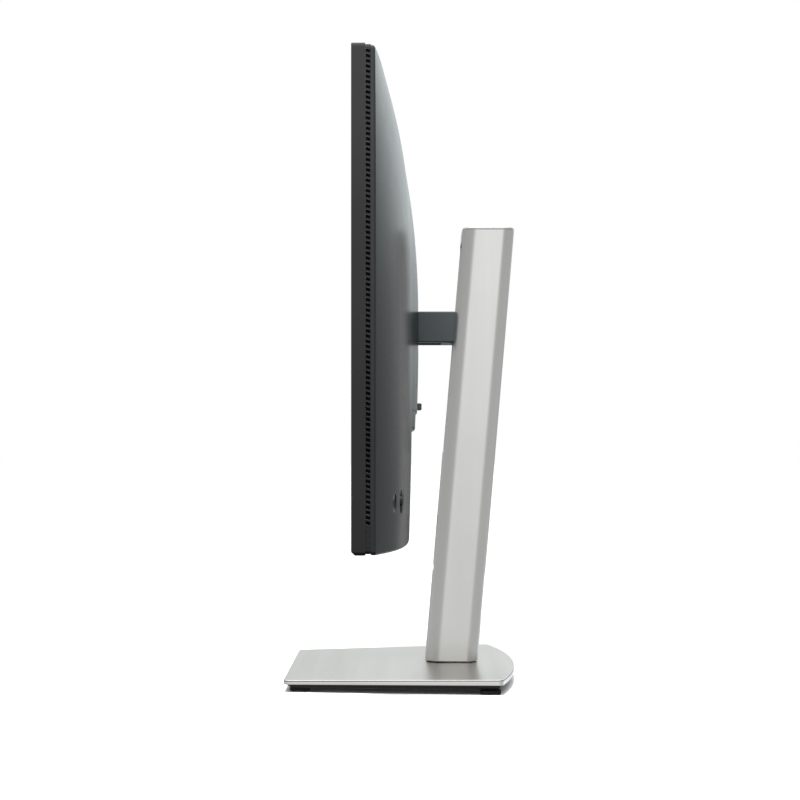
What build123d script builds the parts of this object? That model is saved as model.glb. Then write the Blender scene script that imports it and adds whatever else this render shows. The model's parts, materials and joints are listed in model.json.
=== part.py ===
from build123d import *
import math
import os

# Desktop computer monitor on a height-adjustable stand.
# Millimetres. +Z is up, the screen faces -Y, X runs across the screen. The origin is on the desk, at the
# centre of the whole object's footprint box.

# ---- driving dimensions: the head
HEAD_WIDTH = 611.3
HEAD_HEIGHT = 356.0
HEAD_BOTTOM = 121.6
HEAD_TOP = HEAD_BOTTOM + HEAD_HEIGHT
HEAD_MID = HEAD_BOTTOM + HEAD_HEIGHT / 2
FRONT_Y = -35.4
FRAME_BACK_Y = -25.7
SEAM_Y = -21.7
RIM_Y = -18.8
FRAME_WALL = 1.5
CORNER_RADIUS = 3.0
CHIN_HEIGHT = 12.6
CHIN_CHAMFER = 2.7

# ---- driving dimensions: the screen panel
PANEL_HALF_X = HEAD_WIDTH / 2 - FRAME_WALL - 0.3
PANEL_LOW = HEAD_BOTTOM + CHIN_HEIGHT + 0.3
PANEL_TOP = HEAD_TOP - FRAME_WALL - 0.3
PANEL_CORNER_R = 1.6
LIGHT_X = 286.0
LED_PITCH = 12.0
LED_COUNT = 49

# ---- driving dimensions: the rear cover's pillow shape
COVER_HALF_WIDTH = 304.5
COVER_TOP = HEAD_TOP - 1.4
COVER_BOTTOM = HEAD_BOTTOM + 0.2
COVER_WALL = 2.2
DOME_RISE = 26.9
DOME_SIDE_POWER = 4.24
DOME_TOP_POWER = 4.5
DOME_CENTRE_Z = 258.3
DOME_CREST_Z = 489.7
DOME_BOTTOM_DROP = 0.089
PANEL_RISE = 5.97
PANEL_HALF_WIDTH = 130.0
PANEL_CUT_HALF = 118.0
PANEL_CENTRE_Z = 298.2
PANEL_FADE_DOWN = 245.0
PANEL_FADE_UP = 173.8
PANEL_LOW_Z = 212.0
PANEL_STEP_Z = 227.0
PANEL_STEP = 1.2
PANEL_HIGH_Z = 460.0

# ---- driving dimensions: vents
VENT_PITCH = 3.6
VENT_HEIGHT = 2.5
VENT_DEPTH = 3.2
VENT_SLANT = 14.0
SIDE_VENTS = 92
TOP_VENTS = 101
VENT_LOW_Z = 144.3

# ---- driving dimensions: port bay and sockets. A socket is its middle x, half width, y span and depth.
BAY_HALF = 132.0
BAY_Y = (-19.9, 0.5)
BAY_CEILING = 134.0
SOCKET_DROP = 1.5
BOARD_Y = (-17.6, -16.0)
BOARD_Z = (138.0, 228.0)
HDMI = (-100, 7.5, (-15.9, -9.9), 12)
DISPLAYPORT = (-72, 8.5, (-15.9, -9.7), 12)
USB_C = (-46, 4.6, (-15.9, -12.6), 10)
USB_A = ((-28, -13), 6.6, (-15.9, -8.9), 13)
INLET = (92, 13.6, (-18.4, 0.3), 20)

# ---- driving dimensions: mount, tilt and pivot
MOUNT_Z = HEAD_MID
RECESS_HALF = 45.0
RECESS_FLOOR_Y = 1.0
PLATE_HALF = 42.0
VESA_PITCH = 100.0
VESA_HOLE_R = 2.1
TILT_Y = 22.0
PIVOT_SHAFT_R = 8.0
TILT_SHAFT_R = 5.0
RUNNING_GAP = 0.05
ARM_HALF_WIDTH = 20.0
ARM_FRONT_Y = 14.2
ARM_MOUTH_R = 25.5
ARM_LOW = MOUNT_Z - 11.6
ARM_HIGH = MOUNT_Z + 15.1
KNUCKLE_HALF = 11.3
KNUCKLE_R = 10.0

# ---- driving dimensions: column
COLUMN_BOTTOM = 15.2
COLUMN_TOP = 384.0
COLUMN_HALF_X = 30.0
COLUMN_DEPTH = 44.5
COLUMN_WALL = 2.5
COLUMN_FRONT_R = 13.0
COLUMN_REAR_R = 11.0
COLUMN_TOP_Y = 73.75
LEAN = 0.085
LEAN_DEG = math.degrees(math.atan(LEAN))
LEAN_COS = math.cos(math.radians(LEAN_DEG))
CAP_HEIGHT = 2.4
TRAVEL_DOWN = 93.0
TRAVEL_UP = 57.0
FRONT_SLOT_Z = (91.0, 139.0)
FRONT_SLOT_HALF = 17.0
REAR_SLOT_Z = (43.5, 96.5)
REAR_SLOT_HALF = 22.0
REAR_SLOT_R = 10.0
TRIM_WIDTH = 1.4

# ---- driving dimensions: slides and spring inside the column
ROD_R = 3.0
ROD_X = 20.0
ROD_DEPTH = -4.0
BUSH_R = 5.0
CARRIAGE_HALF = 20.0
CARRIAGE_FRONT = -15.0
CARRIAGE_REAR = 3.0
SPOOL_DEPTH = 11.5
SPOOL_HEIGHT = 340.0
SPOOL_R = 7.8
SPOOL_CORE_R = 4.0
SPOOL_PIN_R = 2.0

# ---- driving dimensions: base
BASE_FRONT_Y = -96.0
BASE_CORNER_Y = 80.0
BASE_REAR_Y = 96.0
BASE_FRONT_HALF = 110.0
BASE_REAR_HALF = 130.0
BASE_CORNER_R = 4.0
TOP_FRONT_Z = 10.0
TOP_SLOPE = 0.0159
CROWN_RISE = 2.2
CROWN_HALF_WIDTH = 122.0
CROWN_FRONT = 135.0
CROWN_REAR = 53.0
BAND_FRONT_Z = 6.4
BAND_SLOPE = 0.0097
BASE_WALL = 1.8
SKIRT_WALL = 2.2
PAN_BOTTOM = 3.4
PAN_FLOOR = 1.6
PAN_INSET = 3.0
WEIGHT_LOW = 5.0
WEIGHT_HIGH = 8.0
SWIVEL_Y = 42.4
HUB_R = 19.0
DISC_R = 21.0
FLANGE_R = 28.0
PAN_HOLE_R = 28.0
SCREW_R = 4.0
HANDLE_PIN_R = 0.8
HANDLE_PIN_Z = 4.9

# ---- driving dimensions: rear controls
CONTROL_Z = 156.8
POWER_X = 256.0
STICK_X = 228.0
POWER_R = 6.1
STICK_DISH_R = 8.6
STICK_PIVOT_Y = -10.8
STICK_PIN_R = 0.45
BUTTON_LOW_Z = 230.4
BUTTON_HIGH_Z = 236.2
BUTTON_BACK_Y = 16.7
BUTTON_HALF = 9.0
BUTTON_TRAVEL = 3.0


# ---- helpers

def block(x, y, z):
    """Box given by its (low, high) pair along each axis."""
    centre = ((x[0] + x[1]) / 2, (y[0] + y[1]) / 2, (z[0] + z[1]) / 2)
    return Pos(*centre) * Box(x[1] - x[0], y[1] - y[0], z[1] - z[0])


def sym(half):
    """Span from -half to half."""
    return (-half, half)


def around(middle, half):
    """Span of a half-width each side of a middle."""
    return (middle - half, middle + half)


def rod_x(radius, x, y, z):
    """Cylinder along X over the span x."""
    return Pos((x[0] + x[1]) / 2, y, z) * Rot(0, 90, 0) * Cylinder(radius, x[1] - x[0])


def rod_y(radius, x, y, z):
    """Cylinder along Y over the span y."""
    return Pos(x, (y[0] + y[1]) / 2, z) * Rot(90, 0, 0) * Cylinder(radius, y[1] - y[0])


def rod_z(radius, x, y, z):
    """Cylinder along Z over the span z."""
    return Pos(x, y, (z[0] + z[1]) / 2) * Cylinder(radius, z[1] - z[0])


def group(shapes):
    """Separate solids kept as one node."""
    solids = []
    for shape in shapes:
        solids.extend(shape.solids())
    return Compound(children=solids)


def mirrored_x(shape):
    """A shape and its mirror image across the middle plane, as separate solids."""
    return group([shape, mirror(shape, about=Plane.YZ)])


def front_rectangle(half_width, low, high, radius, y):
    """Rounded rectangle in the plane of the screen."""
    plane = Plane(origin=(0, y, (low + high) / 2), x_dir=(1, 0, 0), z_dir=(0, 1, 0))
    return plane * RectangleRounded(2 * half_width, high - low, radius)


def front_slab(half_width, low, high, radius, y):
    """Rounded slab parallel to the screen, over the span y."""
    sketch = front_rectangle(half_width, low, high, radius, y[0])
    return extrude(sketch, amount=y[1] - y[0], dir=(0, 1, 0))


# ---- head: screen and frame

def chin_cutter():
    """Bar that takes the chamfer off the lower front edge."""
    side = CHIN_CHAMFER * math.sqrt(2)
    return Pos(0, FRONT_Y, HEAD_BOTTOM) * Rot(45, 0, 0) * Box(HEAD_WIDTH + 2, side, side)


def front_frame():
    half = HEAD_WIDTH / 2
    outer = front_slab(half, HEAD_BOTTOM, HEAD_TOP, CORNER_RADIUS, (FRONT_Y, FRAME_BACK_Y))
    inner = front_slab(half - FRAME_WALL, HEAD_BOTTOM + FRAME_WALL, HEAD_TOP - FRAME_WALL, 1.5,
                       (FRONT_Y, FRAME_BACK_Y - 1.5))
    opening = front_slab(half - 13, HEAD_BOTTOM + 13, HEAD_TOP - 13, 2, (FRONT_Y, FRAME_BACK_Y))
    return outer - inner - opening - chin_cutter()


def bottom_bezel():
    half = HEAD_WIDTH / 2 - FRAME_WALL
    low = HEAD_BOTTOM + FRAME_WALL
    strip = block(sym(half), (FRONT_Y, FRONT_Y + 1.8), (low, HEAD_BOTTOM + CHIN_HEIGHT))
    lip = block(sym(half), (FRONT_Y + 1.8, FRONT_Y + 5), (low, low + 1.5))
    light_hole = rod_y(1.5, LIGHT_X, (FRONT_Y - 1, FRONT_Y + 3), low + 5)
    inside = front_slab(half, low, HEAD_TOP - FRAME_WALL, 1.5, (FRONT_Y, FRONT_Y + 5))
    return (strip + lip - light_hole - chin_cutter()) & inside


def power_light():
    z = HEAD_BOTTOM + FRAME_WALL + 5
    lens = rod_y(1.5, LIGHT_X, (FRONT_Y, FRONT_Y + 1.8), z)
    return lens + rod_y(2.2, LIGHT_X, (FRONT_Y + 1.8, FRONT_Y + 4.5), z)


def lcd_panel():
    return front_slab(PANEL_HALF_X, PANEL_LOW, PANEL_TOP, PANEL_CORNER_R, (FRONT_Y + 0.4, FRONT_Y + 2.2))


def diffuser_sheets():
    return block(sym(PANEL_HALF_X - 1.5), (-33.0, -32.4), (PANEL_LOW + 1, PANEL_TOP - 1.5))


def light_guide():
    return block(sym(PANEL_HALF_X - 2), (-32.2, -29.7), (PANEL_LOW + 5, PANEL_TOP - 2))


def led_strip():
    strip = block(sym(PANEL_HALF_X - 6), (-32.2, -29.7), (PANEL_LOW + 1.2, PANEL_LOW + 2.7))
    chips = []
    for index in range(LED_COUNT):
        x = (index - (LED_COUNT - 1) / 2) * LED_PITCH
        chips.append(block(around(x, 2), (-31.8, -30.2), (PANEL_LOW + 2.7, PANEL_LOW + 3.7)))
    return strip + chips


def backlight_tray():
    outer = front_slab(PANEL_HALF_X, PANEL_LOW, PANEL_TOP, PANEL_CORNER_R, (-32.9, -28.6))
    inner = block(sym(PANEL_HALF_X - 1), (-33.5, -29.4), (PANEL_LOW + 0.8, PANEL_TOP - 1))
    return outer - inner


def vent_frame():
    half = COVER_HALF_WIDTH + 0.4
    low = HEAD_BOTTOM + 1.0
    high = HEAD_TOP - 0.8
    span = (FRAME_BACK_Y, SEAM_Y)
    ring = front_slab(half, low, high, CORNER_RADIUS, span)
    ring -= front_slab(half - 1.8, low + 1.8, high - 1.8, 1.5, (span[0] - 1, span[1] + 1))
    slots = []
    middle = (span[0] + span[1]) / 2
    for index in range(SIDE_VENTS):
        z = VENT_LOW_Z + index * VENT_PITCH
        for side in (-1, 1):
            slot = Pos(side * half, middle, z) * Rot(-VENT_SLANT, 0, 0) * Box(6, VENT_DEPTH, VENT_HEIGHT)
            slots.append(slot)
    for index in range(TOP_VENTS):
        x = (index - (TOP_VENTS - 1) / 2) * VENT_PITCH
        slots.append(Pos(x, middle, high) * Box(VENT_HEIGHT, VENT_DEPTH, 6))
    return ring - slots


# ---- head: rear cover

def dome_y(x, z):
    """Depth of the plain pillow surface at (x, z)."""
    side = 1 - (abs(x) / COVER_HALF_WIDTH) ** DOME_SIDE_POWER
    if z > DOME_CENTRE_Z:
        rise = 1 - ((z - DOME_CENTRE_Z) / (DOME_CREST_Z - DOME_CENTRE_Z)) ** DOME_TOP_POWER
    else:
        rise = 1 - DOME_BOTTOM_DROP * ((DOME_CENTRE_Z - z) / (DOME_CENTRE_Z - COVER_BOTTOM)) ** 2
    return RIM_Y + DOME_RISE * side * rise


def panel_y(x, z):
    """Depth of the raised middle panel's surface at (x, z). It fades into the pillow at its sides and top."""
    across = (1 - (x / PANEL_HALF_WIDTH) ** 2) ** 2
    if z > PANEL_CENTRE_Z:
        fade = (1 - ((z - PANEL_CENTRE_Z) / PANEL_FADE_UP) ** 2) ** 1.5
    else:
        fade = math.cos(math.pi * (z - PANEL_CENTRE_Z) / (2 * PANEL_FADE_DOWN)) ** 2
    return dome_y(x, z) + PANEL_RISE * across * fade


def pillow(depth_at, half_width, z, offset, front):
    """Solid between the plane Y = front and a surface given by depth_at(x, z) - offset."""
    columns = 36
    rows = 30
    grid = []
    for row in range(rows + 1):
        height = z[0] - 1 + (z[1] - z[0] + 2) * row / rows
        line = []
        for column in range(columns + 1):
            x = (half_width + 1) * math.sin(math.pi * (column / columns - 0.5))
            line.append((x, depth_at(x, height) - offset, height))
        grid.append(line)
    skin = Face.make_surface_from_array_of_points(grid, tol=0.02, min_deg=3, max_deg=5)
    solid = extrude(skin, amount=80, dir=(0, -1, 0))
    return solid & block(sym(half_width), (front, 60), z)


def mount_slots():
    """Slots through the recess floor for the mounting plate's two hooks and its lower tab."""
    hooks = [block(around(side * 25, 7), (-4, 2), (MOUNT_Z + 36, MOUNT_Z + 44.5)) for side in (-1, 1)]
    tab = block(sym(9), (-4, 2), (MOUNT_Z - 39, MOUNT_Z - 31.5))
    return hooks + [tab]


def vesa_points():
    half = VESA_PITCH / 2
    return [(sx * half, MOUNT_Z + sz * half) for sx in (-1, 1) for sz in (-1, 1)]


def rear_cover():
    z_span = (COVER_BOTTOM, COVER_TOP)
    shell = pillow(dome_y, COVER_HALF_WIDTH, z_span, 0, SEAM_Y)
    inner_span = (COVER_BOTTOM + COVER_WALL, COVER_TOP - COVER_WALL)
    shell -= pillow(dome_y, COVER_HALF_WIDTH - COVER_WALL, inner_span, COVER_WALL, SEAM_Y - 5)
    panel = pillow(panel_y, PANEL_CUT_HALF, (PANEL_STEP_Z, PANEL_HIGH_Z), 0, -30)
    panel += pillow(panel_y, PANEL_CUT_HALF, (PANEL_LOW_Z, PANEL_STEP_Z), PANEL_STEP, -30)
    panel -= pillow(dome_y, PANEL_CUT_HALF + 2, (PANEL_LOW_Z - 2, PANEL_HIGH_Z + 2), 1.5, -40)
    shell += panel
    pocket_half = RECESS_HALF + 2
    pocket = block(sym(pocket_half), (RECESS_FLOOR_Y - 2, 8), around(MOUNT_Z, pocket_half))
    shell += pocket
    for x, z in vesa_points():
        shell += rod_y(5, x, (RECESS_FLOOR_Y - 2, 8), z)
    shell -= block(sym(RECESS_HALF), (RECESS_FLOOR_Y, 30), around(MOUNT_Z, RECESS_HALF))
    shell -= rod_y(16, 0, (-5, 5), MOUNT_Z)
    for cut in mount_slots():
        shell -= cut
    for x, z in vesa_points():
        shell -= rod_y(VESA_HOLE_R, x, (-5, 30), z)
    shell -= button_opening()
    shell -= control_openings()
    shell += block(sym(BAY_HALF + 2), (BAY_Y[0] - 1.5, BAY_Y[1] + 2), (COVER_BOTTOM + 1, BAY_CEILING + 1))
    shell -= port_bay()
    for x, z in cover_screw_points():
        shell -= rod_y(1.4, x, (-5, 5), z)
    return shell


def button_opening():
    width = around(0, BUTTON_HALF + 0.4)
    return block(width, (2, 30), (BUTTON_LOW_Z - 0.4, BUTTON_HIGH_Z + BUTTON_TRAVEL + 0.4))


def control_openings():
    surface = dome_y(STICK_X, CONTROL_Z)
    dish = Pos(STICK_X, surface + 1.2, CONTROL_Z) * Rot(90, 0, 0) * Cone(5.6, STICK_DISH_R + 2.2, 6)
    stick = rod_y(5.6, STICK_X, (-20, 5), CONTROL_Z)
    power = rod_y(POWER_R + 0.35, POWER_X, (-20, 5), CONTROL_Z)
    return dish + stick + power


def port_bay():
    return block(sym(BAY_HALF), BAY_Y, (COVER_BOTTOM - 1, BAY_CEILING + 2))


def cover_screw_points():
    return [(side * 38, MOUNT_Z + dz) for side in (-1, 1) for dz in (-24, 24)]


def cover_screws():
    screws = []
    for x, z in cover_screw_points():
        y = RECESS_FLOOR_Y
        head = rod_y(2.6, x, (y, y + 0.15), z)
        screws.append(head + rod_y(1.4, x, (-8, y), z))
    return group(screws)


# ---- head: electronics

def electronics_chassis():
    plate = block(sym(286), (-25.0, -24.0), (136, 466))
    for x in (-60, 60):
        for z in (MOUNT_Z - 60, MOUNT_Z + 60):
            plate += block(around(x, 4), (-24, -3), around(z, 4))
    for x, z in board_posts():
        plate += rod_y(2.5, x, (-24, -17.6), z)
    return plate


def board_posts():
    points = [(side * x, z) for side in (-1, 1) for x in (14, 142) for z in (145, 222)]
    return points + [(222, 166), (264, 166)]


def main_board():
    board = block((-150, -6), BOARD_Y, BOARD_Z)
    board += block(around(-78, 9), (-16.0, -14.4), around(190, 9))
    board += block(around(-110, 6), (-16.0, -14.8), around(200, 6))
    board += block(around(-40, 10), (-16.0, -11.0), around(216, 3))
    return board


def power_board():
    board = block((6, 150), BOARD_Y, BOARD_Z)
    board += block(around(60, 8), (-16.0, -6.0), around(158, 6))
    board += block(around(24, 3), (-16.0, -8.0), around(196, 14))
    x, half, y, depth = INLET
    return board - block(around(x, half + 1), (-20, 0), (BAY_CEILING, BAY_CEILING + depth))


def power_transformer():
    core = block(around(112, 15), (-16.0, -2.0), around(196, 12))
    winding = rod_y(9, 112, (-2.0, 0.0), 196)
    return core + winding


def capacitors():
    cans = [rod_y(8, 64, (-16.0, 0.0), 196), rod_y(5, 86, (-16.0, -3.0), 176)]
    cans.append(rod_y(5, 86, (-16.0, -3.0), 212))
    return group(cans)


def port_cutter(x, half, y):
    return block(around(x, half + 0.15), (y[0] - 0.15, y[1] + 0.15), (BAY_CEILING - 1, BAY_CEILING + 2))


def port_plate():
    plate = block(sym(BAY_HALF), (BAY_Y[0] + 0.2, BAY_Y[1]), (BAY_CEILING, BAY_CEILING + 1))
    for x, half, y, _ in (HDMI, DISPLAYPORT, USB_C, INLET):
        plate -= port_cutter(x, half, y)
    for x in USB_A[0]:
        plate -= port_cutter(x, USB_A[1], USB_A[2])
    return plate


def socket(x, half, y, depth, tongue):
    """Port shell whose mouth faces down, with its contact tongue."""
    low = BAY_CEILING - SOCKET_DROP
    wall = 0.5
    shell = block(around(x, half), y, (low, low + depth))
    cavity = block(around(x, half - wall), (y[0] + wall, y[1] - wall), (low - 1, low + depth - wall))
    middle = (y[0] + y[1]) / 2
    blade = block(around(x, half - 1.6), around(middle, tongue), (low + 1.5, low + depth - wall))
    return shell - cavity + blade


def hdmi_port():
    body = socket(*HDMI, 0.5)
    x, half, y, depth = HDMI
    corner = BAY_CEILING - SOCKET_DROP + depth / 2
    for side in (-1, 1):
        notch = Pos(x + side * half, y[0], corner) * Rot(0, 0, 45) * Box(1.8, 1.8, depth + 2)
        body -= notch
    return body


def displayport_port():
    body = socket(*DISPLAYPORT, 0.6)
    x, half, y, depth = DISPLAYPORT
    corner = BAY_CEILING - SOCKET_DROP + depth / 2
    return body - Pos(x + half, y[1], corner) * Rot(0, 0, 45) * Box(1.4, 1.4, depth + 2)


def usb_c_port():
    x, half, y, depth = USB_C
    low = BAY_CEILING - SOCKET_DROP
    middle = (y[0] + y[1]) / 2
    plane = Plane.XY.offset(low)
    outer = extrude(plane * (Pos(x, middle) * SlotOverall(2 * half, y[1] - y[0])), amount=depth)
    inner = extrude(plane * (Pos(x, middle) * SlotOverall(2 * half - 0.8, y[1] - y[0] - 0.8)),
                    amount=depth - 0.5)
    blade = block(around(x, 3.2), around(middle, 0.35), (low + 1, low + depth - 0.5))
    return outer - inner + blade


def usb_a_ports():
    _, half, y, depth = USB_A
    return group([socket(x, half, y, depth, 1.0) for x in USB_A[0]])


def ac_inlet():
    x, half, y, depth = INLET
    low = BAY_CEILING - SOCKET_DROP
    body = block(around(x, half), y, (low, low + depth))
    flange = block(around(x, half + 3), (y[0], y[1]), (BAY_CEILING + 1, BAY_CEILING + 2.2))
    cavity = block(around(x, half - 1.8), (y[0] + 1.8, y[1] - 1.8), (low - 1, low + depth - 3))
    middle = (y[0] + y[1]) / 2
    inlet = body + flange - cavity
    for dx, dy in ((-7, -2), (0, 2.5), (7, -2)):
        inlet += block(around(x + dx, 1), around(middle + dy, 2), (low + 2, low + depth - 3))
    return inlet


def mount_bracket():
    plate = block(sym(66), (RECESS_FLOOR_Y - 4, RECESS_FLOOR_Y - 2), around(MOUNT_Z, 66))
    for x, z in vesa_points():
        plate += rod_y(5, x, (RECESS_FLOOR_Y - 10, RECESS_FLOOR_Y - 4), z)
        plate -= rod_y(VESA_HOLE_R, x, (-20, 5), z)
    plate -= rod_y(16, 0, (-10, 5), MOUNT_Z)
    plate -= block(sym(9), (-5, 0), (BUTTON_LOW_Z, BUTTON_HIGH_Z + BUTTON_TRAVEL + 1))
    for cut in mount_slots():
        plate -= cut
    for x, z in cover_screw_points():
        plate -= rod_y(1.4, x, (-10, 5), z)
    for side in (-1, 1):
        plate += block(around(side * 19, 1.5), (-6.6, -3), (244, 256))
    return plate


def key_board():
    board = block((212, 270), BOARD_Y, (146, 170))
    switch = rod_y(3, POWER_X, (-16.0, -13.9), CONTROL_Z)
    cup = rod_y(6.8, STICK_X, (-16.0, -9.6), CONTROL_Z) - rod_y(5.6, STICK_X, (-15.0, -9.0), CONTROL_Z)
    return board + switch + cup


# ---- rear controls

def power_button():
    cap = rod_y(POWER_R, POWER_X, (-13.0, 0), CONTROL_Z)
    local = block(around(POWER_X, 12), (-40, 20), around(CONTROL_Z, 12))
    skin = pillow(dome_y, COVER_HALF_WIDTH, (CONTROL_Z - 12, CONTROL_Z + 12), 0.5, -40)
    return cap & (skin & local)


def joystick_plunger():
    """Disc with two ears that hold the gimbal's pins."""
    plunger = rod_y(5.3, STICK_X, (-13.8, -12.8), CONTROL_Z)
    for side in (-1, 1):
        x = around(STICK_X + side * 4.65, 0.45)
        plunger += block(x, (-12.8, STICK_PIVOT_Y + 1), around(CONTROL_Z, 1.1))
    return plunger - rod_x(STICK_PIN_R + RUNNING_GAP, around(STICK_X, 8), STICK_PIVOT_Y, CONTROL_Z)


def joystick_gimbal():
    """Ring with a pair of pins along X, bored along Z for the cap's pins."""
    ring = rod_y(3.9, STICK_X, around(STICK_PIVOT_Y, 0.9), CONTROL_Z)
    ring += rod_x(STICK_PIN_R, around(STICK_X, 5.1), STICK_PIVOT_Y, CONTROL_Z)
    ring -= rod_y(2.6, STICK_X, (-20, 0), CONTROL_Z)
    return ring - rod_z(STICK_PIN_R + RUNNING_GAP, STICK_X, STICK_PIVOT_Y, around(CONTROL_Z, 8))


def joystick_cap():
    top = dome_y(STICK_X, CONTROL_Z) + 0.9
    stem = rod_y(2.0, STICK_X, (STICK_PIVOT_Y - 0.9, top - 1), CONTROL_Z)
    pins = rod_z(STICK_PIN_R, STICK_X, STICK_PIVOT_Y, around(CONTROL_Z, 3.8))
    knob = rod_y(4.0, STICK_X, (top - 3.4, top), CONTROL_Z)
    rim = knob.faces().sort_by(Axis.Y)[-1].edges()
    return stem + pins + fillet(rim, 0.9)


def release_button():
    span = (BUTTON_LOW_Z, BUTTON_HIGH_Z)
    pad = block(sym(BUTTON_HALF), (8.0, BUTTON_BACK_Y), span)
    pad = fillet(pad.faces().sort_by(Axis.Y)[-1].edges(), 0.8)
    return pad + block(sym(6), (-3.2, 8.0), (BUTTON_LOW_Z + 1, BUTTON_HIGH_Z - 1))


def release_latch():
    bar = block(sym(16), (-5.8, -3.2), (BUTTON_LOW_Z - 4, MOUNT_Z - 26))
    window = block(sym(9), (-7, -2), (MOUNT_Z - 40.9, MOUNT_Z - 35.1))
    return bar - window


# ---- stand: parts fixed to the head

def mounting_plate():
    plate = block(sym(PLATE_HALF), (1.2, 3.7), around(MOUNT_Z, PLATE_HALF))
    for side in (-1, 1):
        plate += block(around(side * 25, 6), (-5, 1.2), (MOUNT_Z + 37, MOUNT_Z + 40))
        plate += block(around(side * 25, 6), (-5, -3.3), (MOUNT_Z + 40, MOUNT_Z + 43.5))
    tab = block(sym(8), (-8, 1.2), (MOUNT_Z - 37.6, MOUNT_Z - 33.6))
    notch = block(sym(9), (-6, -3), (MOUNT_Z - 35.4, MOUNT_Z - 33))
    plate += tab - notch
    for x, z in cover_screw_points():
        plate -= rod_y(3.2, x, (0, 5), z)
    return plate - rod_y(PIVOT_SHAFT_R + RUNNING_GAP, 0, (0, 5), MOUNT_Z)


def mount_cover():
    half = RECESS_HALF - 0.4
    span = around(MOUNT_Z, half)
    shell = pillow(panel_y, half + 5, (MOUNT_Z - 60, MOUNT_Z + 60), 0, 3.7)
    shell = shell & block(sym(half), (3.7, 30), span)
    cavity = block(sym(half - 2), (0, 9.5), around(MOUNT_Z, half - 2))
    return shell - cavity - rod_y(ARM_MOUTH_R, 0, (0, 30), MOUNT_Z)


# ---- stand: tilt and pivot

def tilt_bracket():
    disc = rod_y(25, 0, (4.3, 6.4), MOUNT_Z)
    knuckle = block(sym(KNUCKLE_HALF), (6.4, TILT_Y), around(MOUNT_Z, KNUCKLE_R))
    knuckle += rod_x(KNUCKLE_R, sym(KNUCKLE_HALF), TILT_Y, MOUNT_Z)
    bore = rod_x(TILT_SHAFT_R + RUNNING_GAP, sym(30), TILT_Y, MOUNT_Z)
    return disc + knuckle - bore


def pivot_shaft():
    return rod_y(PIVOT_SHAFT_R, 0, (-7, 4.3), MOUNT_Z)


def pivot_nut():
    plane = Plane(origin=(0, -5.5, MOUNT_Z), x_dir=(1, 0, 0), z_dir=(0, 1, 0))
    nut = extrude(plane * RegularPolygon(13, 6), amount=6, dir=(0, 1, 0))
    return nut - rod_y(PIVOT_SHAFT_R, 0, (-8, 2), MOUNT_Z)


def pivot_washer():
    ring = rod_y(22, 0, (3.8, 4.3), MOUNT_Z)
    return ring - rod_y(PIVOT_SHAFT_R, 0, (0, 8), MOUNT_Z)


def tilt_shaft():
    return rod_x(TILT_SHAFT_R, sym(ARM_HALF_WIDTH - 1), TILT_Y, MOUNT_Z)


def tilt_washers():
    washer = rod_x(9, (KNUCKLE_HALF + 0.05, KNUCKLE_HALF + 0.5), TILT_Y, MOUNT_Z)
    washer -= rod_x(TILT_SHAFT_R, (0, 30), TILT_Y, MOUNT_Z)
    return mirrored_x(washer)


def arm():
    bar = block(sym(ARM_HALF_WIDTH), (ARM_FRONT_Y, 58), (ARM_LOW, ARM_HIGH))
    long_edges = bar.edges().filter_by(Axis.Y)
    bar = fillet(long_edges, 1.6)
    flange = in_column(block(sym(22), (CARRIAGE_FRONT - 2.4, 0), around(along_column(MOUNT_Z), 17)))
    body = bar + flange
    body -= block(sym(KNUCKLE_HALF + 0.5), (0, TILT_Y + KNUCKLE_R + 1.5), around(MOUNT_Z, 30))
    body -= rod_x(TILT_SHAFT_R, sym(ARM_HALF_WIDTH - 1), TILT_Y, MOUNT_Z)
    return body - carriage_envelope()


# ---- stand: column and slides

def in_column(shape):
    """Place a shape drawn in the column's own frame: z up the leaning axis, y towards its rear."""
    foot_y = COLUMN_TOP_Y - LEAN * (COLUMN_TOP - COLUMN_BOTTOM)
    return Pos(0, foot_y, COLUMN_BOTTOM) * Rot(-LEAN_DEG, 0, 0) * shape


def along_column(z):
    """Distance up the leaning axis of a level height z."""
    return (z - COLUMN_BOTTOM) / LEAN_COS


def column_prism(inset, z):
    """Column section, inset all round, run along the leaning axis between two levels."""
    middle = COLUMN_TOP_Y - LEAN * (COLUMN_TOP - z[0])
    width = 2 * (COLUMN_HALF_X - inset)
    section = Plane.XY.offset(z[0]) * (Pos(0, middle) * Rectangle(width, COLUMN_DEPTH - 2 * inset))
    corners = section.vertices().sort_by(Axis.Y)
    section = fillet(corners[:2], COLUMN_FRONT_R - inset)
    corners = section.vertices().sort_by(Axis.Y)
    section = fillet(corners[-2:], COLUMN_REAR_R - inset)
    height = z[1] - z[0]
    direction = (0, LEAN * LEAN_COS, LEAN_COS)
    return extrude(section, amount=height / LEAN_COS, dir=direction)


def rounded_window(half_width, z, y, radius):
    """Rounded opening along Y."""
    plane = Plane(origin=(0, y[0], (z[0] + z[1]) / 2), x_dir=(1, 0, 0), z_dir=(0, 1, 0))
    return extrude(plane * RectangleRounded(2 * half_width, z[1] - z[0], radius), amount=y[1] - y[0],
                   dir=(0, 1, 0))


def column():
    shell = column_prism(0, (COLUMN_BOTTOM, COLUMN_TOP))
    inner = column_prism(COLUMN_WALL, (COLUMN_BOTTOM - 5, COLUMN_TOP + 5))
    shell -= inner
    drop = LEAN * COLUMN_DEPTH / 2
    low = along_column(ARM_LOW - drop) - TRAVEL_DOWN - 1.5
    high = along_column(ARM_HIGH) + TRAVEL_UP + 1.5
    shell -= in_column(block(sym(ARM_HALF_WIDTH + 0.6), (-30, -10), (low, high)))
    shell -= rounded_window(FRONT_SLOT_HALF, FRONT_SLOT_Z, (10, 45), 8)
    shell -= rounded_window(REAR_SLOT_HALF, REAR_SLOT_Z, (50, 90), REAR_SLOT_R)
    return shell


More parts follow.
